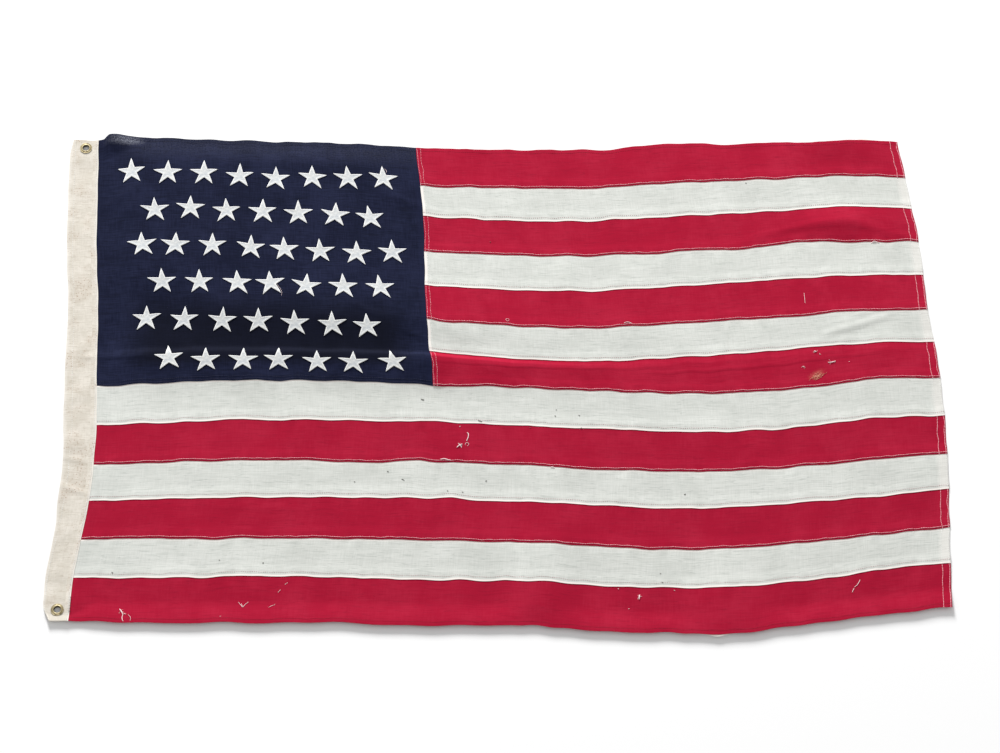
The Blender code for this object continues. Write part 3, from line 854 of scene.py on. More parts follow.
@dataclass(frozen=True)
class Hole:
    """A small moth hole or tear: its middle and half sizes on the cloth."""

    s: float
    t: float
    half_s: float
    half_t: float

    def missing(self, s: Array, t: Array) -> Array:
        """Whether the cloth is gone there. The hole's rim is uneven."""
        turn = np.arctan2(t - self.t, s - self.s)
        uneven = 1.0 + 0.22 * np.sin(3.0 * turn + self.s) + 0.14 * np.sin(7.0 * turn + self.t)
        return np.hypot((s - self.s) / self.half_s, (t - self.t) / self.half_t) < uneven


@dataclass(frozen=True)
class DoubledAndShaded:
    """How doubled cloth shows along a stripe's edges, with painted shade on red and a painted highlight
    on white:
    where each band fades, in millimetres from its seam, and how strongly it shows.
    """

    lap: Place
    lap_share: float
    lip: Place
    lip_share: float
    hem_share: float = 0.0
    start_share: float = 0.0


DOUBLED_AND_SHADED = {
    # White: paler doubled cloth, and in the lip a painted highlight just under the red's edge
    Slot.WHITE: DoubledAndShaded((2.5, 1.8), 1.0, (1.2, 2.8), 0.9, hem_share=0.3, start_share=0.8),
    # Red: painted shade on the folded lower edge, and in the lip a painted shadow under the white's edge
    Slot.RED: DoubledAndShaded((2.4, 1.8), 0.85, (0.6, 1.8), 0.8),
}


@dataclass
class Panel:
    """One piece of bunting: where it lies on the flat flag, and how high its seams stand."""

    name: str
    node: str
    slot: Slot
    start: float
    top: float
    low: float
    laps: bool
    short: bool
    end: float = CUT.fly
    holes: tuple[Hole, ...] = ()
    pitch: Place = (3.6, 2.7)
    hem_fade: float = 1.0
    start_fade: Place = (2.4, 4.4)
    union_fade: Place = (9.0, 5.0)
    # Where painted shade lies on the union, and where the lower red stripes turn darker
    union_shade_out: tuple[float, ...] = (20.0, 90.0, 400.0, 455.0)
    union_shade_drops: tuple[float, ...] = (250.0, 315.0, 372.0, 392.0)
    red_deep_drops: Place = (400.0, 424.0)
    # How much the corner and the patch are rubbed, each one's middle S and reach, and its T and reach
    worn_corner: tuple[float, ...] = (0.6, 40.0, 36.0, 7.0, 10.0)
    worn_patch: tuple[float, ...] = (0.5, 1009.0, 10.0, 393.0, 9.0)
    patch_lean: float = 1.2

    def climb(self, s: Array, t: Array) -> Array:
        """Height of the underside over the relief, where the piece climbs over another."""
        rise = np.zeros_like(s)
        if self.laps:
            edge = smooth(self.low - CUT.lap - CUT.joggle, self.low - CUT.lap, t)
            rise += CUT.lap_rise * edge * smooth(0.3, CUT.lap_foot, s)
        if self.short:
            foot = CUT.union_fly + CUT.union_lap
            rise += CUT.lap_rise * (1.0 - smooth(foot, foot + CUT.joggle, s))
        else:
            rise += CUT.layer * (1.0 - smooth(1.0, CUT.tuck_foot, s))
        return rise

    def surface(self, s: Array, t: Array, above: float = 0.0) -> Array:
        """Height of the upper side over the relief."""
        return self.climb(s, t) + CUT.bunting + above

    def turned(self, s: Array, t: Array) -> Array:
        """How far the cloth shows doubled along its hems and laps, which is paler. On red the lower band
        is doubled cloth darkened as painted shade, and the top line is a painted shadow under the
        white's edge; on white the top line, under the red's edge, is the turned edge with a painted
        highlight.
        """
        if self.slot is Slot.BLUE:
            return 0.5 * smooth(*(CUT.union_fly - inset for inset in self.union_fade), s)
        shows, hem = DOUBLED_AND_SHADED[self.slot], CUT.fly - CUT.fly_hem
        # On red the lap band is painted shade and the lip a painted shadow; on white the lip is partly a
        # painted highlight
        lap = shows.lap_share * smooth(*(self.low - inset for inset in shows.lap), t) * self.laps
        lip = shows.lip_share * (1.0 - smooth(*(self.top + inset for inset in shows.lip), t))
        end = shows.hem_share * smooth(hem - self.hem_fade, hem + self.hem_fade, s)
        start = 1.0 - smooth(*(CUT.union_fly + inset for inset in self.start_fade), s)
        start *= shows.start_share * self.short
        return np.max([lap, lip * (self.top > 0.0), end, start], axis=0)

    def kept(self, s: Array, t: Array) -> Array:
        """Painted shade across the union's lower part, where the old fold's shoulder falls away, and a
        slightly darker tone on the lower red stripes.
        """
        if self.slot is not Slot.BLUE:
            # Red: slightly darker lower stripes. Blue: painted shade where the fold's shoulder falls
            # away.
            return 0.1 * smooth(*self.red_deep_drops, t) * (self.slot is Slot.RED)
        return 0.75 * plateau(self.union_shade_drops, t) * plateau(self.union_shade_out, s)

    def worn(self, s: Array, t: Array) -> Array:
        """Where the cloth is paler: rubbed at the union's top corner and in a patch by the fly, and a
        faint band along the union's top edge.
        """
        if self.slot is Slot.BLUE:
            top_edge = 0.04 * bell(t - 6.0, 40.0) * smooth(20.0, 80.0, s)
            return np.maximum(hump(self.worn_corner, s, t), top_edge)
        lean = self.patch_lean * (self.worn_patch[3] - t)
        return hump(self.worn_patch, s - lean, t) * (self.slot is Slot.RED)

    def build(self, laying: Laying, finish: bpy.types.Material) -> bpy.types.Object:
        breaks_s = {self.start, self.end, self.end - CUT.fly_hem}
        if self.short:
            breaks_s |= {CUT.union_fly + 2.6, CUT.union_fly + 4.6, CUT.union_fly + CUT.union_lap}
        else:
            breaks_s |= {0.3, CUT.lap_foot}
        first = self.top - CUT.lap if self.top else 0.0
        breaks_t = {first, self.top, self.low, self.low - CUT.lap}
        breaks_t |= {self.top + step for step in (0.7, 1.8, 2.6)}
        breaks_t |= {self.low - step for step in (1.2, 2.0, 2.7, 3.5, 5.5)}
        columns = stations(breaks_s, self.pitch[0], [(hole.s, hole.half_s + 2.5) for hole in self.holes])
        rows = stations(breaks_t, self.pitch[1], [(hole.t, hole.half_t + 2.5) for hole in self.holes])
        s, t = (grid.ravel() for grid in np.meshgrid(columns, rows))
        faces = grid_faces(len(rows), len(columns))
        middle_s, middle_t = s[faces].mean(1), t[faces].mean(1)
        gone = np.zeros(len(faces), bool)
        if not self.short and self.top:
            gone |= (middle_s < CUT.lap_foot) & (middle_t < self.top)
        for hole in self.holes:
            gone |= hole.missing(middle_s, middle_t)
        faces, s, t = cut_away(faces, gone, s, t)
        marks = {"turned": self.turned(s, t), "worn": self.worn(s, t), "kept": self.kept(s, t)}
        points = laying.points(s, t, self.climb(s, t))
        mesh = cloth_mesh(points, faces, on_flag(s, t), marks, CUT.bunting)
        piece = show(self.name, mesh, finish)
        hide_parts(self.node)
        return piece


@dataclass
class Bunting:
    """The thirteen stripes and the union, each a panel of its own."""

    laying: Laying
    finishes: Finishes
    holes: dict[int, tuple[Hole, ...]] = field(default_factory=lambda: {
        6: (Hole(1011.3, 359.4, 1.5, 1.1), Hole(1033.5, 377.2, 3.0, 0.8), Hole(991.8, 380.4, 1.2, 0.7)),
        8: (Hole(507.0, 506.0, 1.7, 1.3),),
        12: (Hole(69.0, 745.5, 1.6, 1.3), Hole(761.2, 712.0, 0.9, 2.2)),
    })

    def panels(self) -> list[Panel]:
        """The union first, then the stripes from the top down."""
        seams, inside = CUT.seams, -CUT.tuck
        union = Panel(
            "union_bunting", "union", Slot.BLUE, inside, 0.0, CUT.union_hoist,
            laps=True, short=False, end=CUT.union_fly + CUT.union_lap,
        )
        made = [union]
        for index in range(len(CUT.stripe_widths)):
            slot = Slot.WHITE if index % 2 else Slot.RED
            word = "white" if index % 2 else "red"
            short = index < CUT.union_stripes
            made.append(Panel(
                f"{word}_stripe_{index + 1:02d}", f"stripe_{index + 1:02d}_{word}", slot,
                CUT.union_fly if short else inside, seams[index], seams[index + 1],
                laps=index < len(CUT.stripe_widths) - 1, short=short, holes=self.holes.get(index, ()),
            ))
        return made

    def build(self) -> list[Panel]:
        """Make every panel, and return them for the thread to follow."""
        kinds = self.finishes
        finish = {Slot.RED: kinds.red, Slot.WHITE: kinds.white, Slot.BLUE: kinds.blue}
        panels = self.panels()
        for panel in panels:
            piece = panel.build(self.laying, finish[panel.slot])
            LOG.info("%s: %d faces", piece.name, len(piece.data.polygons))
        return panels


@dataclass
class Stars:
    """The forty-four cotton stars, each cut by hand and sewn on the union."""

    laying: Laying
    finishes: Finishes
    union: Panel
    radius: float = 21.6
    waist: float = 0.35
    cloth: float = 0.7
    bed: float = 0.12
    hem: float = 0.25
    filled: float = 0.345
    rows: tuple[tuple[tuple[float, float, int], ...], ...] = (
        ((49, 58, -2), (102, 61, 1), (155, 61.5, 1), (207, 66, 2), (260, 68, 2), (312.5, 64.5, 1),
         (363.5, 62, 1), (414.5, 58, 2)),
        ((83.5, 124, -1), (135, 122, 3), (187, 126.5, 0), (240, 126, 0), (291, 127, -1),
         (343, 126, 6), (392, 126.5, -8)),
        ((65.5, 182.5, -4), (113, 184, 4), (166, 185.5, 2), (221.5, 187.5, 3), (269.5, 190, -2),
         (320, 190, -4), (371.5, 190.5, 0), (422, 183, -2)),
        ((92.5, 245.5, 0), (145.5, 247, 0), (200, 248.5, 0), (247, 248, -3), (298, 250, 6),
         (351, 249, -2), (403.5, 246, -6)),
        ((68.5, 305, 2), (122.5, 307.5, 5), (177, 311, 5), (228.5, 310.5, 0), (280, 313, -2),
         (332.5, 313, -2), (382, 313.5, -3)),
        ((101, 372, -3), (153, 378.5, -3), (205.5, 378.5, 3), (255, 378, 0), (309.5, 380.5, -2),
         (360, 381.5, 1), (414.5, 377, -7)),
    )
    rings: tuple[float, ...] = (0.28, 0.55, 0.78, 0.90, 1.0)
    hem_rings: tuple[float, ...] = (0.6, 0.85, 0.92, 1.02)
    turned_rings: Place = (0.72, 0.92)
    side_steps: int = 4
    uneven: Place = (0.955, 1.045)
    uneven_turn: float = 1.8
    stitch_inset: float = 0.88
    seed: int = 44

    def outline(self, tilt: float, draw: random.Random) -> Array:
        """One star's outline about its middle, in millimetres: x out, y up, slightly uneven."""
        tips = []
        for k in range(10):
            reach = self.radius * (self.waist if k % 2 else 1.0) * draw.uniform(*self.uneven)
            off = draw.uniform(-self.uneven_turn, self.uneven_turn)
            turn = math.radians(90.0 - tilt + 36.0 * k + off)
            tips.append((reach * math.cos(turn), reach * math.sin(turn)))
        points = []
        for k, (a, b) in enumerate(zip(tips, tips[1:] + tips[:1])):
            for step in range(self.side_steps):
                share = step / self.side_steps
                points.append([a[0] + (b[0] - a[0]) * share, a[1] + (b[1] - a[1]) * share])
        return np.array(points)

    def build(self) -> list[Array]:
        """Make the stars, and return the line that each one's stitches follow."""
        draw = random.Random(self.seed)
        lines = []
        for index, (s, t, tilt) in enumerate(place for row in self.rows for place in row):
            edge = self.outline(tilt, draw)
            local = np.concatenate([[[0.0, 0.0]], *(edge * ring for ring in self.rings)])
            place_s, place_t = s + local[:, 0], t - local[:, 1]
            ring = np.concatenate([[0.0], *(np.full(len(edge), share) for share in self.rings)])
            hem = self.hem * plateau(self.hem_rings, ring)
            climb = self.union.surface(place_s, place_t, self.bed) + hem
            count = len(edge)
            around = np.arange(count)
            after = (around + 1) % count
            faces = [[0, 1 + a, 1 + b] for a, b in zip(around, after)]
            for k in range(len(self.rings) - 1):
                inner, outer = 1 + k * count, 1 + (k + 1) * count
                for a, b in zip(around, after):
                    faces += [[inner + a, outer + a, outer + b], [inner + a, outer + b, inner + b]]
            marks = {"turned": 0.9 * smooth(*self.turned_rings, ring)}
            points = self.laying.points(place_s, place_t, climb)
            mesh = cloth_mesh(points, np.array(faces), local / STAR_WIDE + 0.5, marks, self.cloth)
            star = show(f"star_{index + 1:02d}", mesh, self.finishes.star)
            stitched = edge * self.stitch_inset
            stitched = np.concatenate([stitched, stitched[:1]])
            out, drop = s + stitched[:, 0], t - stitched[:, 1]
            rise = self.union.surface(out, drop, self.bed + self.cloth + self.hem)
            lines.append(self.laying.points(out, drop, rise))
        return lines


@dataclass
class Heading:
    """The canvas strip, folded along its outer edge, with the bunting's edge between its plies."""

    laying: Laying
    finishes: Finishes
    width: float = 38.0
    width_drops: tuple[float, ...] = (
        0.0, 30.0, 250.0, 340.0, 400.0, 475.0, 510.0, 590.0, 622.0, 680.0, 738.0, 762.0,
    )
    wider_by: tuple[float, ...] = (1.0, 5.6, 5.8, 7.2, 8.5, 9.9, 6.8, 6.3, 2.0, 1.2, -0.8, -1.0)
    canvas: float = 1.0
    gap: float = 0.3
    tuck_step: float = 3.5
    grommet_hole: float = 6.6
    corner: float = 10.0
    corner_from: float = 736.0
    corner_curl: float = 1.0
    pitch: float = 3.0
    fold_steps: int = 5
    across: tuple[float, ...] = (-12.6, -15.8, -19.0, -22.2, -25.4, -29.0, -33.0)
    edge_fade: Place = (-3.2, -0.5)
    fold_fade: Place = (-37.2, -34.0)
    wave_share: float = 0.35
    wave_start: Place = (20.0, 60.0)
    wave_end: Place = (702.0, 742.0)

    def profile(self) -> list[tuple[float, float]]:
        """S and height of the strip's inner side, from the lower ply's edge round to the upper's."""
        fold = self.width - self.canvas - self.gap / 2.0
        lower = self.canvas + 0.06
        upper, over = lower + self.gap, lower + self.gap + self.canvas
        tuck, step = -CUT.tuck, -CUT.tuck - self.tuck_step
        under = [(s, lower) for s in (0.0, tuck, step, *self.across)]
        middle = (lower + upper) / 2.0
        bend = []
        for k in range(self.fold_steps):
            turn = math.pi * (0.5 + k / (self.fold_steps - 1))
            half = self.gap / 2.0
            bend.append((-fold + half * math.cos(turn), middle - half * math.sin(turn)))
        top = [(s, upper) for s in (*reversed(self.across), step)]
        return under + bend + top + [(s, over) for s in (tuck, tuck / 2.0, 0.0)]

    def shaped(self, s: Array, t: Array) -> Array:
        """S with the strip's true width, and its lower outer corner turned in on the diagonal."""
        wider = 1.0 + through(self.width_drops, self.wider_by, t) / self.width
        diagonal = 2.0 * smooth(self.corner_from, 2.0 * CUT.hoist - self.corner_from, t)
        inward = self.corner * diagonal * smooth(-24.0, -self.width, s)
        return s * wider + inward

    def build(self) -> bpy.types.Object:
        """Make the heading, and let it stand for its solid."""
        profile = np.array(self.profile())
        rows = stations({0.0, CUT.hoist, *CUT.seams[1:-1]}, self.pitch)
        wide = len(profile)
        s = np.tile(profile[:, 0], len(rows))
        height = np.tile(profile[:, 1], len(rows))
        t = np.repeat(rows, wide)
        around = np.cumsum(np.hypot(*np.diff(profile, axis=0, prepend=profile[:1]).T))
        around = np.tile(around, len(rows))
        faces = grid_faces(len(rows), wide)[:, [0, 3, 2, 1]]
        middle_s, middle_t = self.shaped(s, t)[faces].mean(1), t[faces].mean(1)
        gone = np.zeros(len(faces), bool)
        for node, inset in zip(("grommet_upper", "grommet_lower"), self.laying.grommet_insets):
            out, drop = self.laying.under(node, -self.width / 2.0, inset)
            gone |= np.hypot(middle_s - out, middle_t - drop) < self.grommet_hole
        faces, s, t, height, around = cut_away(faces, gone, s, t, height, around)
        edges = np.maximum(0.8 * smooth(*self.edge_fade, s), 0.5 * (1.0 - smooth(*self.fold_fade, s)))
        wave = self.wave_share * self.laying.swell.height(1.6 * t, 2.0 * s)
        wave = np.maximum(wave * plateau((*self.wave_start, *self.wave_end), t), 0.0)
        folds = sum(crease.at(s, t) for crease in self.laying.creases)
        lift = height + wave * smooth(0.0, -10.0, s) + np.maximum(folds, 0.0) * smooth(-2.0, -9.0, s)
        lift += self.corner_curl * smooth(self.corner_from, CUT.hoist, t) * smooth(-27.0, -self.width, s)
        points = self.laying.points(self.shaped(s, t), t, lift)
        mesh = cloth_mesh(points, faces, on_flag(around, t), {"turned": edges}, self.canvas)
        piece = show("canvas_heading", mesh, self.finishes.canvas)
        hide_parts("heading")
        return piece


@dataclass
class Grommets:
    """Two brass grommets, each rolled over the canvas on both faces."""

    laying: Laying
    finishes: Finishes
    hole: float = 4.5
    flange: float = 8.75
    plate: float = 0.8
    over: float = 3.7
    dome: tuple[Place, ...] = (
        (0.15, 0.34), (0.6, 0.46), (1.1, 0.36), (1.45, 0.08), (1.8, 0.34), (2.3, 0.68), (2.8, 0.80),
        (3.3, 0.74), (3.7, 0.52),
    )
    sides: int = 64

    def profile(self) -> list[tuple[float, float]]:
        """Radius and height round the section, both ways round the clinched lips."""
        top, low, hole, flange = self.over, self.plate, self.hole, self.flange
        dome = [(flange - inward, top + rise) for inward, rise in self.dome]
        return [
            (flange, top), *dome, (hole + 0.2, top + 0.2), (hole, top - 0.3), (hole, top - 0.9),
            (hole, low + 0.4), (hole + 0.3, 0.25), (hole + 0.9, 0.0), (flange - 0.5, 0.0),
            (flange, 0.3), (flange, low), (hole + 0.6, low), (hole + 0.6, top),
        ]

    def build(self) -> None:
        """Turn both grommets and let them stand for their solids."""
        for side in ("upper", "lower"):
            name, node = f"{side}_eyelet_brass", f"grommet_{side}"
            low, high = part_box(node)
            middle = ((low.x + high.x) / 2.0, (low.y + high.y) / 2.0, 0.0)
            bm = bmesh.new()
            ring = [bm.verts.new((r * MM, 0.0, z * MM)) for r, z in self.profile()]
            edges = [bm.edges.new(pair) for pair in zip(ring, ring[1:] + ring[:1])]
            bmesh.ops.spin(bm, geom=ring + edges, axis=(0, 0, 1), angle=math.tau, steps=self.sides)
            bmesh.ops.remove_doubles(bm, verts=bm.verts, dist=0.001 * MM)
            bmesh.ops.recalc_face_normals(bm, faces=bm.faces)
            bmesh.ops.translate(bm, vec=middle, verts=bm.verts)
            mesh = bpy.data.meshes.new(name)
            bm.to_mesh(mesh)
            bm.free()
            places = np.array([vertex.co[:] for vertex in mesh.vertices]) - np.array(middle)
            # The hole's inner wall, which is painted near black as shade
            bore_shade = np.hypot(places[:, 0], places[:, 1]) < (self.hole + 0.15) * MM
            bore_shade &= places[:, 2] < (self.over - 0.2) * MM
            mark(mesh, "bore_shade", bore_shade)
            mesh.shade_smooth()
            mesh.set_sharp_from_angle(angle=math.radians(50.0))
            piece = show(name, mesh, self.finishes.brass)
            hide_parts(node)
            LOG.info("%s: turned", name)


class StitchRow:
    """Lays stitches along lines with Geometry Nodes."""

    def __init__(self) -> None:
        """Build the tree: lines in, one small capsule for each stitch out."""
        self.tree = bpy.data.node_groups.new("stitch row", "GeometryNodeTree")
        face = self.tree.interface
        face.new_socket("Lines", in_out="INPUT", socket_type="NodeSocketGeometry")
        self.sockets = {
            name: face.new_socket(name, in_out="INPUT", socket_type=f"NodeSocket{kind}").identifier
            for name, kind in (
                ("Pitch", "Float"), ("Length", "Float"), ("Thickness", "Float"), ("Slant", "Float"),
                ("Seed", "Int"), ("Thread", "Material"),
            )
        }
        face.new_socket("Stitches", in_out="OUTPUT", socket_type="NodeSocketGeometry")
        tree = self.tree
        given = add_node(tree, "NodeGroupInput").outputs
        curves = add_node(tree, "GeometryNodeMeshToCurve", {"Mesh": given["Lines"]}).outputs["Curve"]
        spots = add_node(
            tree, "GeometryNodeCurveToPoints", {"Curve": curves, "Length": given["Pitch"]}, mode="LENGTH"
        )
        size = add_node(
            tree, "ShaderNodeCombineXYZ",
            {"X": given["Length"], "Y": given["Thickness"], "Z": given["Thickness"]},
        ).outputs[0]
        bead = add_node(tree, "GeometryNodeMeshIcoSphere", {"Radius": 0.5, "Subdivisions": 1})
        stitch = add_node(
            tree, "GeometryNodeTransform", {"Geometry": bead.outputs["Mesh"], "Scale": size}
        ).outputs[0]
        lined = add_node(
            tree, "FunctionNodeAlignRotationToVector", {"Vector": spots.outputs["Tangent"]}, axis="X"
        ).outputs[0]
        least, most = (
            add_node(tree, "ShaderNodeMath", {0: given["Slant"], 1: 0.12}, operation=way).outputs[0]
            for way in ("SUBTRACT", "ADD")
        )
        angle = add_node(
            tree, "FunctionNodeRandomValue",
            {2: least, 3: most, "Seed": given["Seed"]}, data_type="FLOAT",
        ).outputs[1]
        turn = add_node(tree, "ShaderNodeCombineXYZ", {"Z": angle}).outputs[0]
        turned = add_node(tree, "FunctionNodeEulerToRotation", {0: turn}).outputs[0]
        placed = add_node(
            tree, "FunctionNodeRotateRotation", {"Rotation": lined, "Rotate By": turned},
            rotation_space="LOCAL",
        ).outputs[0]
        scale = add_node(
            tree, "FunctionNodeRandomValue",
            {"Min": (0.75, 0.85, 0.85), "Max": (1.15, 1.15, 1.15), "Seed": given["Seed"]},
            data_type="FLOAT_VECTOR",
        ).outputs[0]
        rows = add_node(
            tree, "GeometryNodeInstanceOnPoints",
            {"Points": spots.outputs["Points"], "Instance": stitch, "Rotation": placed, "Scale": scale},
        ).outputs[0]
        real = add_node(tree, "GeometryNodeRealizeInstances", {"Geometry": rows}).outputs[0]
        done = add_node(
            tree, "GeometryNodeSetMaterial", {"Geometry": real, "Material": given["Thread"]}
        ).outputs[0]
        add_node(tree, "NodeGroupOutput", {"Stitches": done})

    def sew(
        self, name: str, lines: Sequence[Array], thread: bpy.types.Material,
        pitch: float, length: float, thick: float, slant: float, seed: int,
    ) -> bpy.types.Object:
        """Sew along lines.

        Args:
            name: The piece's name.
            lines: Each line's points, in metres.
            thread: The thread's material.
            pitch: Millimetres from one stitch to the next.
            length: Each stitch's length in millimetres.
            thick: The thread's thickness in millimetres.
            slant: How far a stitch turns off its line, in radians.
            seed: Fixes the small unevenness.

        Returns:
            The stitches as one piece.
        """
        points = np.concatenate(lines)
        edges, first = [], 0
        for line in lines:
            edges += [(first + k, first + k + 1) for k in range(len(line) - 1)]
            first += len(line)
        mesh = bpy.data.meshes.new(name)
        mesh.from_pydata(points.tolist(), edges, [])
        guide = put(name, mesh)
        modifier = guide.modifiers.new("Stitches", "NODES")
        modifier.node_group = self.tree
        values = {
            "Pitch": pitch * MM, "Length": length * MM, "Thickness": thick * MM,
            "Slant": slant, "Seed": seed, "Thread": thread,
        }
        for key, value in values.items():
            modifier[self.sockets[key]] = value
        made = settled(guide)
        made.shade_smooth()
        piece = show(name, made, thread)
        LOG.info("%s: %d stitches", name, len(made.polygons) // 20)
        return piece


@dataclass
class Sewing:
    """Every row of thread on the flag."""

    laying: Laying
    finishes: Finishes
    panels: list[Panel]
    star_lines: list[Array]
    step: float = 4.0
    rise: float = 0.15
    edge_gap: float = 1.0
    seam_start: float = 1.5

    def along(self, panel: Panel, start: float, end: float, drop: float, wobble: float = 0.35) -> Array:
        """A row of points out along a panel, at one drop."""
        s = stations({start, end}, self.step)
        t = drop + wobble * self.laying.bite.height(1.3 * s + drop, s * 0.0)
        return self.laying.points(s, t, panel.surface(s, t, self.rise))

    def down(self, panel: Panel, out: float, wobble: float = 0.5) -> Array:
        """A row of points down across a panel, at one distance out."""
        t = stations({panel.top + 0.8, panel.low - 0.6}, self.step)
        s = out + wobble * self.laying.bite.height(1.1 * t + 3.0 * out, t * 0.0)
        return self.laying.points(s, t, panel.surface(s, t, self.rise))

    def build(self) -> None:
        """Sew the seams, hems, union, stars and heading."""
        row, kinds = StitchRow(), self.finishes
        union, stripes = self.panels[0], self.panels[1:]
        red = [panel for panel in stripes if panel.slot is Slot.RED]
        white = [panel for panel in stripes if panel.slot is Slot.WHITE]
        end, blue_end = CUT.fly - self.edge_gap, CUT.union_fly - self.edge_gap

        def seams(panels: list[Panel], inset: float) -> list[Array]:
            """A row along each panel's lower edge."""
            return [
                self.along(panel, max(panel.start, 0.0) + self.seam_start, end, panel.low - inset)
                for panel in panels
            ]

        def across(panels: list[Panel], *places: float) -> list[Array]:
            """Rows down each panel, at each distance out."""
            return [self.down(panel, place) for panel in panels for place in places]

        fly_rows, blue_rows = (CUT.fly - 1.8, CUT.fly - 11.4), (CUT.union_fly + 1.4, CUT.union_fly + 6.4)
        union_rows = [
            self.along(union, self.seam_start, blue_end, CUT.union_hoist - inset) for inset in (2.4, 6.6)
        ]
        union_rows.append(self.along(union, 12.0, CUT.union_fly, 5.8))
        edge_rows = [
            self.along(stripes[-1], self.seam_start, end, CUT.hoist - 5.4),
            self.along(stripes[0], CUT.union_fly + 2.0, end, 5.4),
        ]
        t = stations({3.0, CUT.hoist - 3.0}, self.step)
        heading = [
            self.laying.points(out + 0.3 * self.laying.bite.height(t, t * 0.0), t, np.full(len(t), rise))
            for out, rise in ((-2.6, 3.5), (-34.4, 2.35))
        ]
        t = stations({728.0, 748.0}, self.step)
        mend = self.laying.points(np.full(len(t), 0.2), t, np.full(len(t), 3.1))
        # The real thread is about 0.5 mm thick and is drawn coarser, so that it shows from this far.
        # Each row: its lines, thread, pitch, stitch length, thickness, slant and seed.
        rows = {
            "red_seam_thread": (seams(red[:-1], 3.1), kinds.pale_thread, 2.4, 2.7, 1.0, 0.0, 3),
            "white_seam_thread": (seams(white, 5.6), kinds.pink_thread, 3.0, 1.6, 0.6, 0.0, 4),
            "fly_hem_thread": (across(red, *fly_rows), kinds.pale_thread, 2.4, 2.7, 1.0, 0.0, 5),
            "fly_hem_white_thread": (
                across(white, *fly_rows), kinds.white_thread, 2.7, 2.1, 0.5, 0.0, 6,
            ),
            "union_edge_thread": (across(red[:4], *blue_rows), kinds.pale_thread, 2.6, 2.4, 0.7, 0.0, 7),
            "union_edge_white_thread": (
                across(white[:3], CUT.union_fly + 4.8), kinds.white_thread, 2.7, 2.1, 0.5, 0.0, 8,
            ),
            "union_hem_thread": (union_rows, kinds.blue_thread, 2.7, 2.2, 0.55, 0.0, 9),
            "edge_hem_thread": (edge_rows, kinds.red_thread, 2.7, 2.2, 0.4, 0.0, 10),
            "star_thread": (self.star_lines, kinds.white_thread, 2.3, 1.9, 0.5, 0.5, 12),
            "heading_thread": (heading, kinds.white_thread, 3.2, 2.5, 0.6, 0.0, 13),
            "mending_thread": ([mend], kinds.dark_thread, 3.4, 4.2, 0.75, 1.35, 14),
        }
        for name, values in rows.items():
            row.sew(name, *values)


@dataclass(frozen=True)
class Strand:
    """One loose thread or fibre: its places on the cloth, its thickness and how high it loops."""

    places: tuple[Place, ...]
    thick: float = 0.7
    loop: float = 0.8


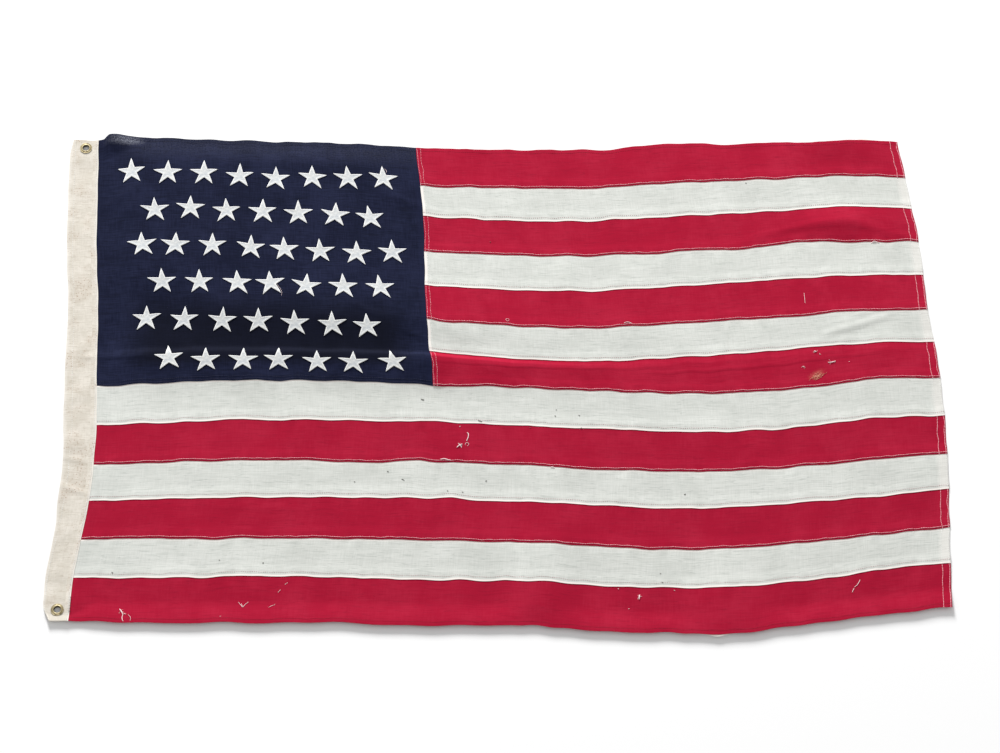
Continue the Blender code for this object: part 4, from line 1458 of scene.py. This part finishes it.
@dataclass
class Wear:
    """Loose threads, frayed tufts, the darned patch and the lint that age has left on the flag."""

    laying: Laying
    finishes: Finishes
    panels: list[Panel]
    pale: tuple[Strand, ...] = (
        Strand(((514.5, 499.7), (516.8, 494.3), (517.3, 489.0), (515.3, 487.0)), 0.8, 0.3),
        Strand(((500.9, 509.8), (504.3, 506.8), (508.4, 504.5)), 0.85, 0.3),
        Strand(((502.9, 503.1), (505.7, 506.8), (507.8, 509.7)), 0.6, 0.2),
        Strand(
            ((512.4, 505.8), (513.5, 502.9), (516.6, 502.7), (517.4, 505.1), (515.2, 507.1)), 0.35, 0.2,
        ),
        Strand(((504.5, 477.9), (506.5, 477.3)), 0.6, 0.1),
        Strand(((478.4, 527.4), (484.0, 526.6), (489.0, 528.2), (492.7, 528.9)), 0.9, 0.2),
        Strand(((631.1, 533.0), (634.0, 532.4), (637.0, 533.4)), 0.8, 0.2),
        Strand(((1009.6, 359.0), (1012.8, 359.9)), 1.1, 0.2),
        Strand(((1016.4, 363.3), (1018.2, 364.2)), 0.6, 0.1),
        Strand(((1027.2, 376.8), (1031.5, 377.5), (1036.0, 376.9), (1038.2, 376.6)), 0.85, 0.2),
        Strand(((990.4, 380.2), (993.2, 380.6)), 0.7, 0.1),
        Strand(((1056.8, 380.3), (1057.5, 379.2)), 0.5, 0.1),
        Strand(((1007.6, 259.8), (1007.4, 268.3), (1007.6, 276.3)), 0.38, 0.1),
        Strand(((1112.0, 178.2), (1116.9, 175.5), (1123.6, 177.2)), 0.7, 0.3),
        Strand(((748, 291), (753, 289.8), (759, 291.5)), 0.6, 0.3),
        Strand(((66.6, 742.5), (69.5, 746.2), (71.9, 750.5)), 1.0, 0.3),
        Strand(((71.9, 750.5), (71.4, 755.5), (73.3, 760.2)), 0.7, 0.2),
        Strand(((71.9, 750.0), (74.0, 749.4), (76.0, 750.2)), 0.5, 0.2),
        Strand(((78.8, 750.6), (82.7, 755.0), (82.7, 759.8)), 0.32, 0.2),
        Strand(
            ((225.0, 732.4), (229.4, 737.2), (231.6, 739.3), (234.6, 735.0), (238.4, 732.2)), 0.45, 0.2,
        ),
        Strand(((229.0, 734.0), (231.0, 738.0)), 0.35, 0.1),
        Strand(((201.4, 754.3), (202.8, 754.3)), 0.4, 0.1),
        Strand(((265.6, 739.1), (274.5, 735.1)), 0.3, 0.1),
        Strand(((276.5, 719.0), (278.3, 717.3), (279.4, 715.6)), 0.4, 0.1),
        Strand(((285.0, 709.5), (288.4, 707.0)), 0.35, 0.1),
        Strand(((760.7, 714.7), (761.3, 711.5), (761.6, 708.8)), 1.15, 0.3),
        Strand(((732.2, 701.5), (733.6, 701.9)), 0.8, 0.1),
        Strand(((746.2, 728.5), (747.8, 727.9)), 0.5, 0.1),
        Strand(((807.6, 702.2), (809.2, 702.7)), 0.45, 0.1),
        Strand(((1047.3, 723.2), (1048.6, 720.4), (1050.1, 717.9)), 0.5, 0.2),
        Strand(((1050.5, 716.5), (1054.3, 714.3), (1056.6, 711.2), (1058.3, 707.8)), 0.5, 0.2),
        Strand(((418.0, 41.0), (421.0, 44.0), (420.0, 47.0)), 0.35, 0.2),
        Strand(((256.0, 250.0), (262.0, 262.0), (261.0, 270.0)), 0.25, 0.2),
    )
    loops: tuple[tuple[float, float, float], ...] = ((583.0, 287.0, 2.4),)
    flecks: tuple[tuple[float, float, float], ...] = (
        (534, 468.9, 5.6), (543.7, 556.6, 2), (491.3, 575.3, 1.8), (511.8, 575.5, 1.8),
        (603.6, 475.6, 1.7), (674.4, 472.3, 1.8), (672.6, 453.9, 2.4), (639, 455.9, 1.7),
        (640.9, 447.2, 1.4), (816.6, 565.6, 2.6), (791.8, 692, 2.2), (788.2, 678.3, 1.5),
        (453, 436, 4.6), (362, 562, 2), (407, 546, 2.2), (429, 560, 4.6),
        (193, 674, 2), (253, 680, 1.8), (51, 691, 2.2), (947, 68, 2),
        (690, 172, 1.4), (565, 154, 1.6),
    )
    plump: float = 1.5
    seed: int = 7
    darn_middle: Place = (1010.8, 397.0)
    darn_half: Place = (8.5, 4.6)
    darn_rows: tuple[int, int] = (15, 6)
    fibres: int = 3

    def top(self, s: Array, t: Array) -> Array:
        """Height of whatever panel is uppermost at each place, over the relief."""
        high = np.zeros_like(s)
        for panel in self.panels:
            inside = (s >= panel.start) & (s <= panel.end) & (t >= panel.top) & (t <= panel.low)
            high = np.where(inside, np.maximum(high, panel.surface(s, t)), high)
        return high

    def line(self, strand: Strand) -> Array:
        """A strand's points on the cloth, with a low loop in the middle, in metres."""
        places = np.array(strand.places, float)
        reach = np.arange(len(places), dtype=float)
        fine = np.linspace(0.0, len(places) - 1.0, 4 * len(places) - 3)
        s = through(reach, list(places[:, 0]), fine)
        t = through(reach, list(places[:, 1]), fine)
        arch = strand.loop * np.sin(np.pi * fine / (len(places) - 1.0)) + 0.4 * strand.thick
        return self.laying.points(s, t, self.top(s, t) + arch)

    def tubes(self, name: str, strands: Sequence[Strand], finish: bpy.types.Material) -> None:
        """Make the strands round, each of its own thickness, all in one piece."""
        curve = bpy.data.curves.new(name, "CURVE")
        curve.dimensions = "3D"
        curve.bevel_depth = 0.5 * MM
        curve.bevel_resolution = 1
        curve.use_fill_caps = True
        for strand in strands:
            points = self.line(strand)
            spline = curve.splines.new("POLY")
            spline.points.add(len(points) - 1)
            for k, point in enumerate(points):
                share = k / (len(points) - 1)
                spline.points[k].co = (*point, 1.0)
                full = 0.45 + 0.55 * math.sin(math.pi * (0.15 + 0.7 * share))
                spline.points[k].radius = self.plump * strand.thick * full
        mesh = settled(put(name, curve))
        mesh.shade_smooth()
        show(name, mesh, finish)
        LOG.info("%s: %d strands", name, len(strands))

    def fuzz(self, draw: random.Random) -> list[Strand]:
        """Short fibres standing round each hole and tuft."""
        found = []
        spots = [(hole.s, hole.t, hole.half_s + 0.6) for panel in self.panels for hole in panel.holes]
        for s, t, reach in spots:
            for _ in range(self.fibres):
                turn, far = draw.uniform(0.0, math.tau), draw.uniform(0.3, 1.0) * reach
                a = (s + far * math.cos(turn), t + 0.7 * far * math.sin(turn))
                bend = draw.uniform(-0.8, 0.8)
                b = (a[0] + 1.7 * math.cos(turn + bend), a[1] + 1.7 * math.sin(turn + bend))
                c = (b[0] + 1.5 * math.cos(turn + 2 * bend), b[1] + 1.5 * math.sin(turn + 2 * bend))
                found.append(Strand((a, b, c), draw.uniform(0.14, 0.26), 0.4))
        return found

    def darning(self, draw: random.Random) -> list[Strand]:
        """Short tan stitches woven across the rubbed patch."""
        (s, t), (half_s, half_t) = self.darn_middle, self.darn_half
        down, across = self.darn_rows
        found = []
        for k in range(down):
            place = s - half_s + 2.0 * half_s * (k + draw.uniform(-0.3, 0.3)) / (down - 1)
            lean, reach = draw.uniform(1.0, 4.5), half_t * draw.uniform(0.35, 1.0)
            drop = t - 0.25 * (place - s) + draw.uniform(-1.5, 1.5)
            found.append(Strand(
                ((place - lean, drop + reach), (place, drop), (place + lean, drop - reach)),
                draw.uniform(0.22, 0.5), 0.2,
            ))
        for k in range(across):
            drop = t - half_t + 2.0 * half_t * (k + draw.uniform(-0.3, 0.3)) / (across - 1)
            first = s - half_s * draw.uniform(0.3, 0.9)
            last = s + half_s * draw.uniform(0.1, 0.9)
            run = ((first, drop + 1.5), ((first + last) / 2, drop), (last, drop - 1.5))
            found.append(Strand(run, 0.3, 0.2))
        return found

    def build(self) -> None:
        """Lay the loose threads, the darn and the lint."""
        draw = random.Random(self.seed)
        strands = [*self.pale, *self.fuzz(draw)]
        for s, t, reach in self.loops:
            ring = tuple(
                (s + reach * math.cos(turn), t + 0.8 * reach * math.sin(turn))
                for turn in np.linspace(0.3, 6.0, 9)
            )
            strands.append(Strand(ring, 0.35, 0.3))
        self.tubes("loose_thread_ends", strands, self.finishes.frayed)
        self.tubes("darned_patch", self.darning(draw), self.finishes.darn)
        specks = []
        for s, t, long in self.flecks:
            turn = draw.uniform(-0.5, 0.5)
            half_s, half_t = 0.5 * long * math.cos(turn), 0.5 * long * math.sin(turn)
            middle = (s, t + draw.uniform(-0.5, 0.5))
            places = ((s - half_s, t - half_t), middle, (s + half_s, t + half_t))
            specks.append(Strand(places, draw.uniform(0.45, 0.75), 0.1))
        self.tubes("lint_flecks", specks, self.finishes.lint)


@dataclass
class HemPeeks:
    """Two short turns of white hem tape that peep out past the red edge."""

    laying: Laying
    finishes: Finishes
    spans: tuple[tuple[str, float, float, float, float], ...] = (
        ("upper_hem_tape", 1112.0, 1152.0, 3.0, -2.6),
        ("lower_hem_tape", 842.0, 890.0, 759.0, 764.4),
    )
    steps: int = 5
    below: float = 0.65

    def build(self) -> None:
        """Make both turns, just under the hem."""
        for name, start, end, inner, outer in self.spans:
            out = stations({start, end}, 3.0)
            share = np.linspace(0.0, 1.0, self.steps)
            s = np.tile(out, len(share))
            bow = bell(2.0 * (s - (start + end) / 2.0) / (end - start), 1.0)
            t = inner + (outer - inner) * np.repeat(share, len(out)) * (0.35 + 0.65 * bow)
            faces = grid_faces(len(share), len(out))
            if outer < inner:
                faces = faces[:, ::-1]
            points = self.laying.points(s, t, np.full(len(s), -self.below))
            points[:, 2] = np.maximum(points[:, 2], 0.05 * MM)
            mesh = cloth_mesh(points, faces, on_flag(s, t), {"turned": np.ones(len(s))}, CUT.bunting)
            piece = show(name, mesh, self.finishes.white)
            size = ((end - start) * MM, max(abs(outer - inner) * MM, 0.01))
            area = 0.75 * (end - start) * abs(outer - inner) * MM * MM
            area = max(area, 0.31 * size[0] * size[1])


@dataclass
class Studio:
    """The plain floor, the soft light and the camera."""

    shift: tuple[float, float]
    tilt: float = 27.2
    distance: float = 3.786
    focal: float = 97.2
    floor_half: float = 6.0
    brightness: float = 1.12
    key_share: float = 0.54
    key_turn: float = -12.0
    key_rise: float = 22.0
    key_away: float = 9.0
    key_size: float = 2.6

    def key_energy(self) -> float:
        """Watts that give the key its share of the light on the floor."""
        wanted = self.brightness * self.key_share
        return wanted * (math.pi * self.key_away) ** 2 / math.sin(math.radians(self.key_rise))

    def build(self) -> None:
        """Set the floor, the lights and the camera."""
        bpy.context.scene.view_settings.view_transform = "Standard"
        self.table()
        self.light()
        self.camera()

    def table(self) -> None:
        """A matt white floor, wider than the picture."""
        bpy.ops.mesh.primitive_plane_add(size=2.0 * self.floor_half)
        floor = bpy.context.object
        floor.name = "floor"
        material, shader = blank_material("matt white table")
        fill(shader, {"Base Color": linear("#FDFDFD"), "Roughness": 0.9, "Specular IOR Level": 0.1})
        floor.data.materials.append(material)

    def light(self) -> None:
        """An even white sky, and one soft window from the top of the picture."""
        world = bpy.data.worlds.new("soft studio")
        world.use_nodes = True
        sky = self.brightness * (1.0 - self.key_share)
        fill(world.node_tree.nodes["Background"], {"Color": (1.0, 1.0, 1.0, 1.0), "Strength": sky})
        bpy.context.scene.world = world
        window = bpy.data.lights.new("far window", "AREA")
        window.shape = "DISK"
        window.size = self.key_size
        window.energy = self.key_energy()
        lamp = put("far window", window)
        turn, rise = math.radians(self.key_turn), math.radians(self.key_rise)
        toward = Vector((math.sin(turn), math.cos(turn), 0.0)) * math.cos(rise)
        toward.z = math.sin(rise)
        lamp.location = toward * self.key_away
        lamp.rotation_euler = toward.to_track_quat("Z", "Y").to_euler()

    def camera(self) -> None:
        """A long lens, tilted, over the flag's lower side."""
        lens = bpy.data.cameras.new("camera")
        lens.lens = self.focal
        camera = put("camera", lens)
        lean = math.radians(self.tilt)
        target = Vector((self.shift[0] * MM, self.shift[1] * MM, 0.0))
        camera.location = target + self.distance * Vector((0.0, -math.sin(lean), math.cos(lean)))
        camera.rotation_euler = (lean, 0.0, 0.0)
        bpy.context.scene.camera = camera


def main() -> None:
    """Build the flag, piece by piece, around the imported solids."""
    logging.basicConfig(level=logging.INFO, format="%(name)s: %(message)s")
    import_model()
    laying = Laying()
    laying.place_by("grommet_upper", -19.0, 15.0)
    Studio(laying.shift).build()
    finishes = Finishes()
    panels = Bunting(laying, finishes).build()
    star_lines = Stars(laying, finishes, panels[0]).build()
    Heading(laying, finishes).build()
    Grommets(laying, finishes).build()
    Sewing(laying, finishes, panels, star_lines).build()
    Wear(laying, finishes, panels).build()
    HemPeeks(laying, finishes).build()
    bpy.context.view_layer.update()


if __name__ == "__main__":
    main()
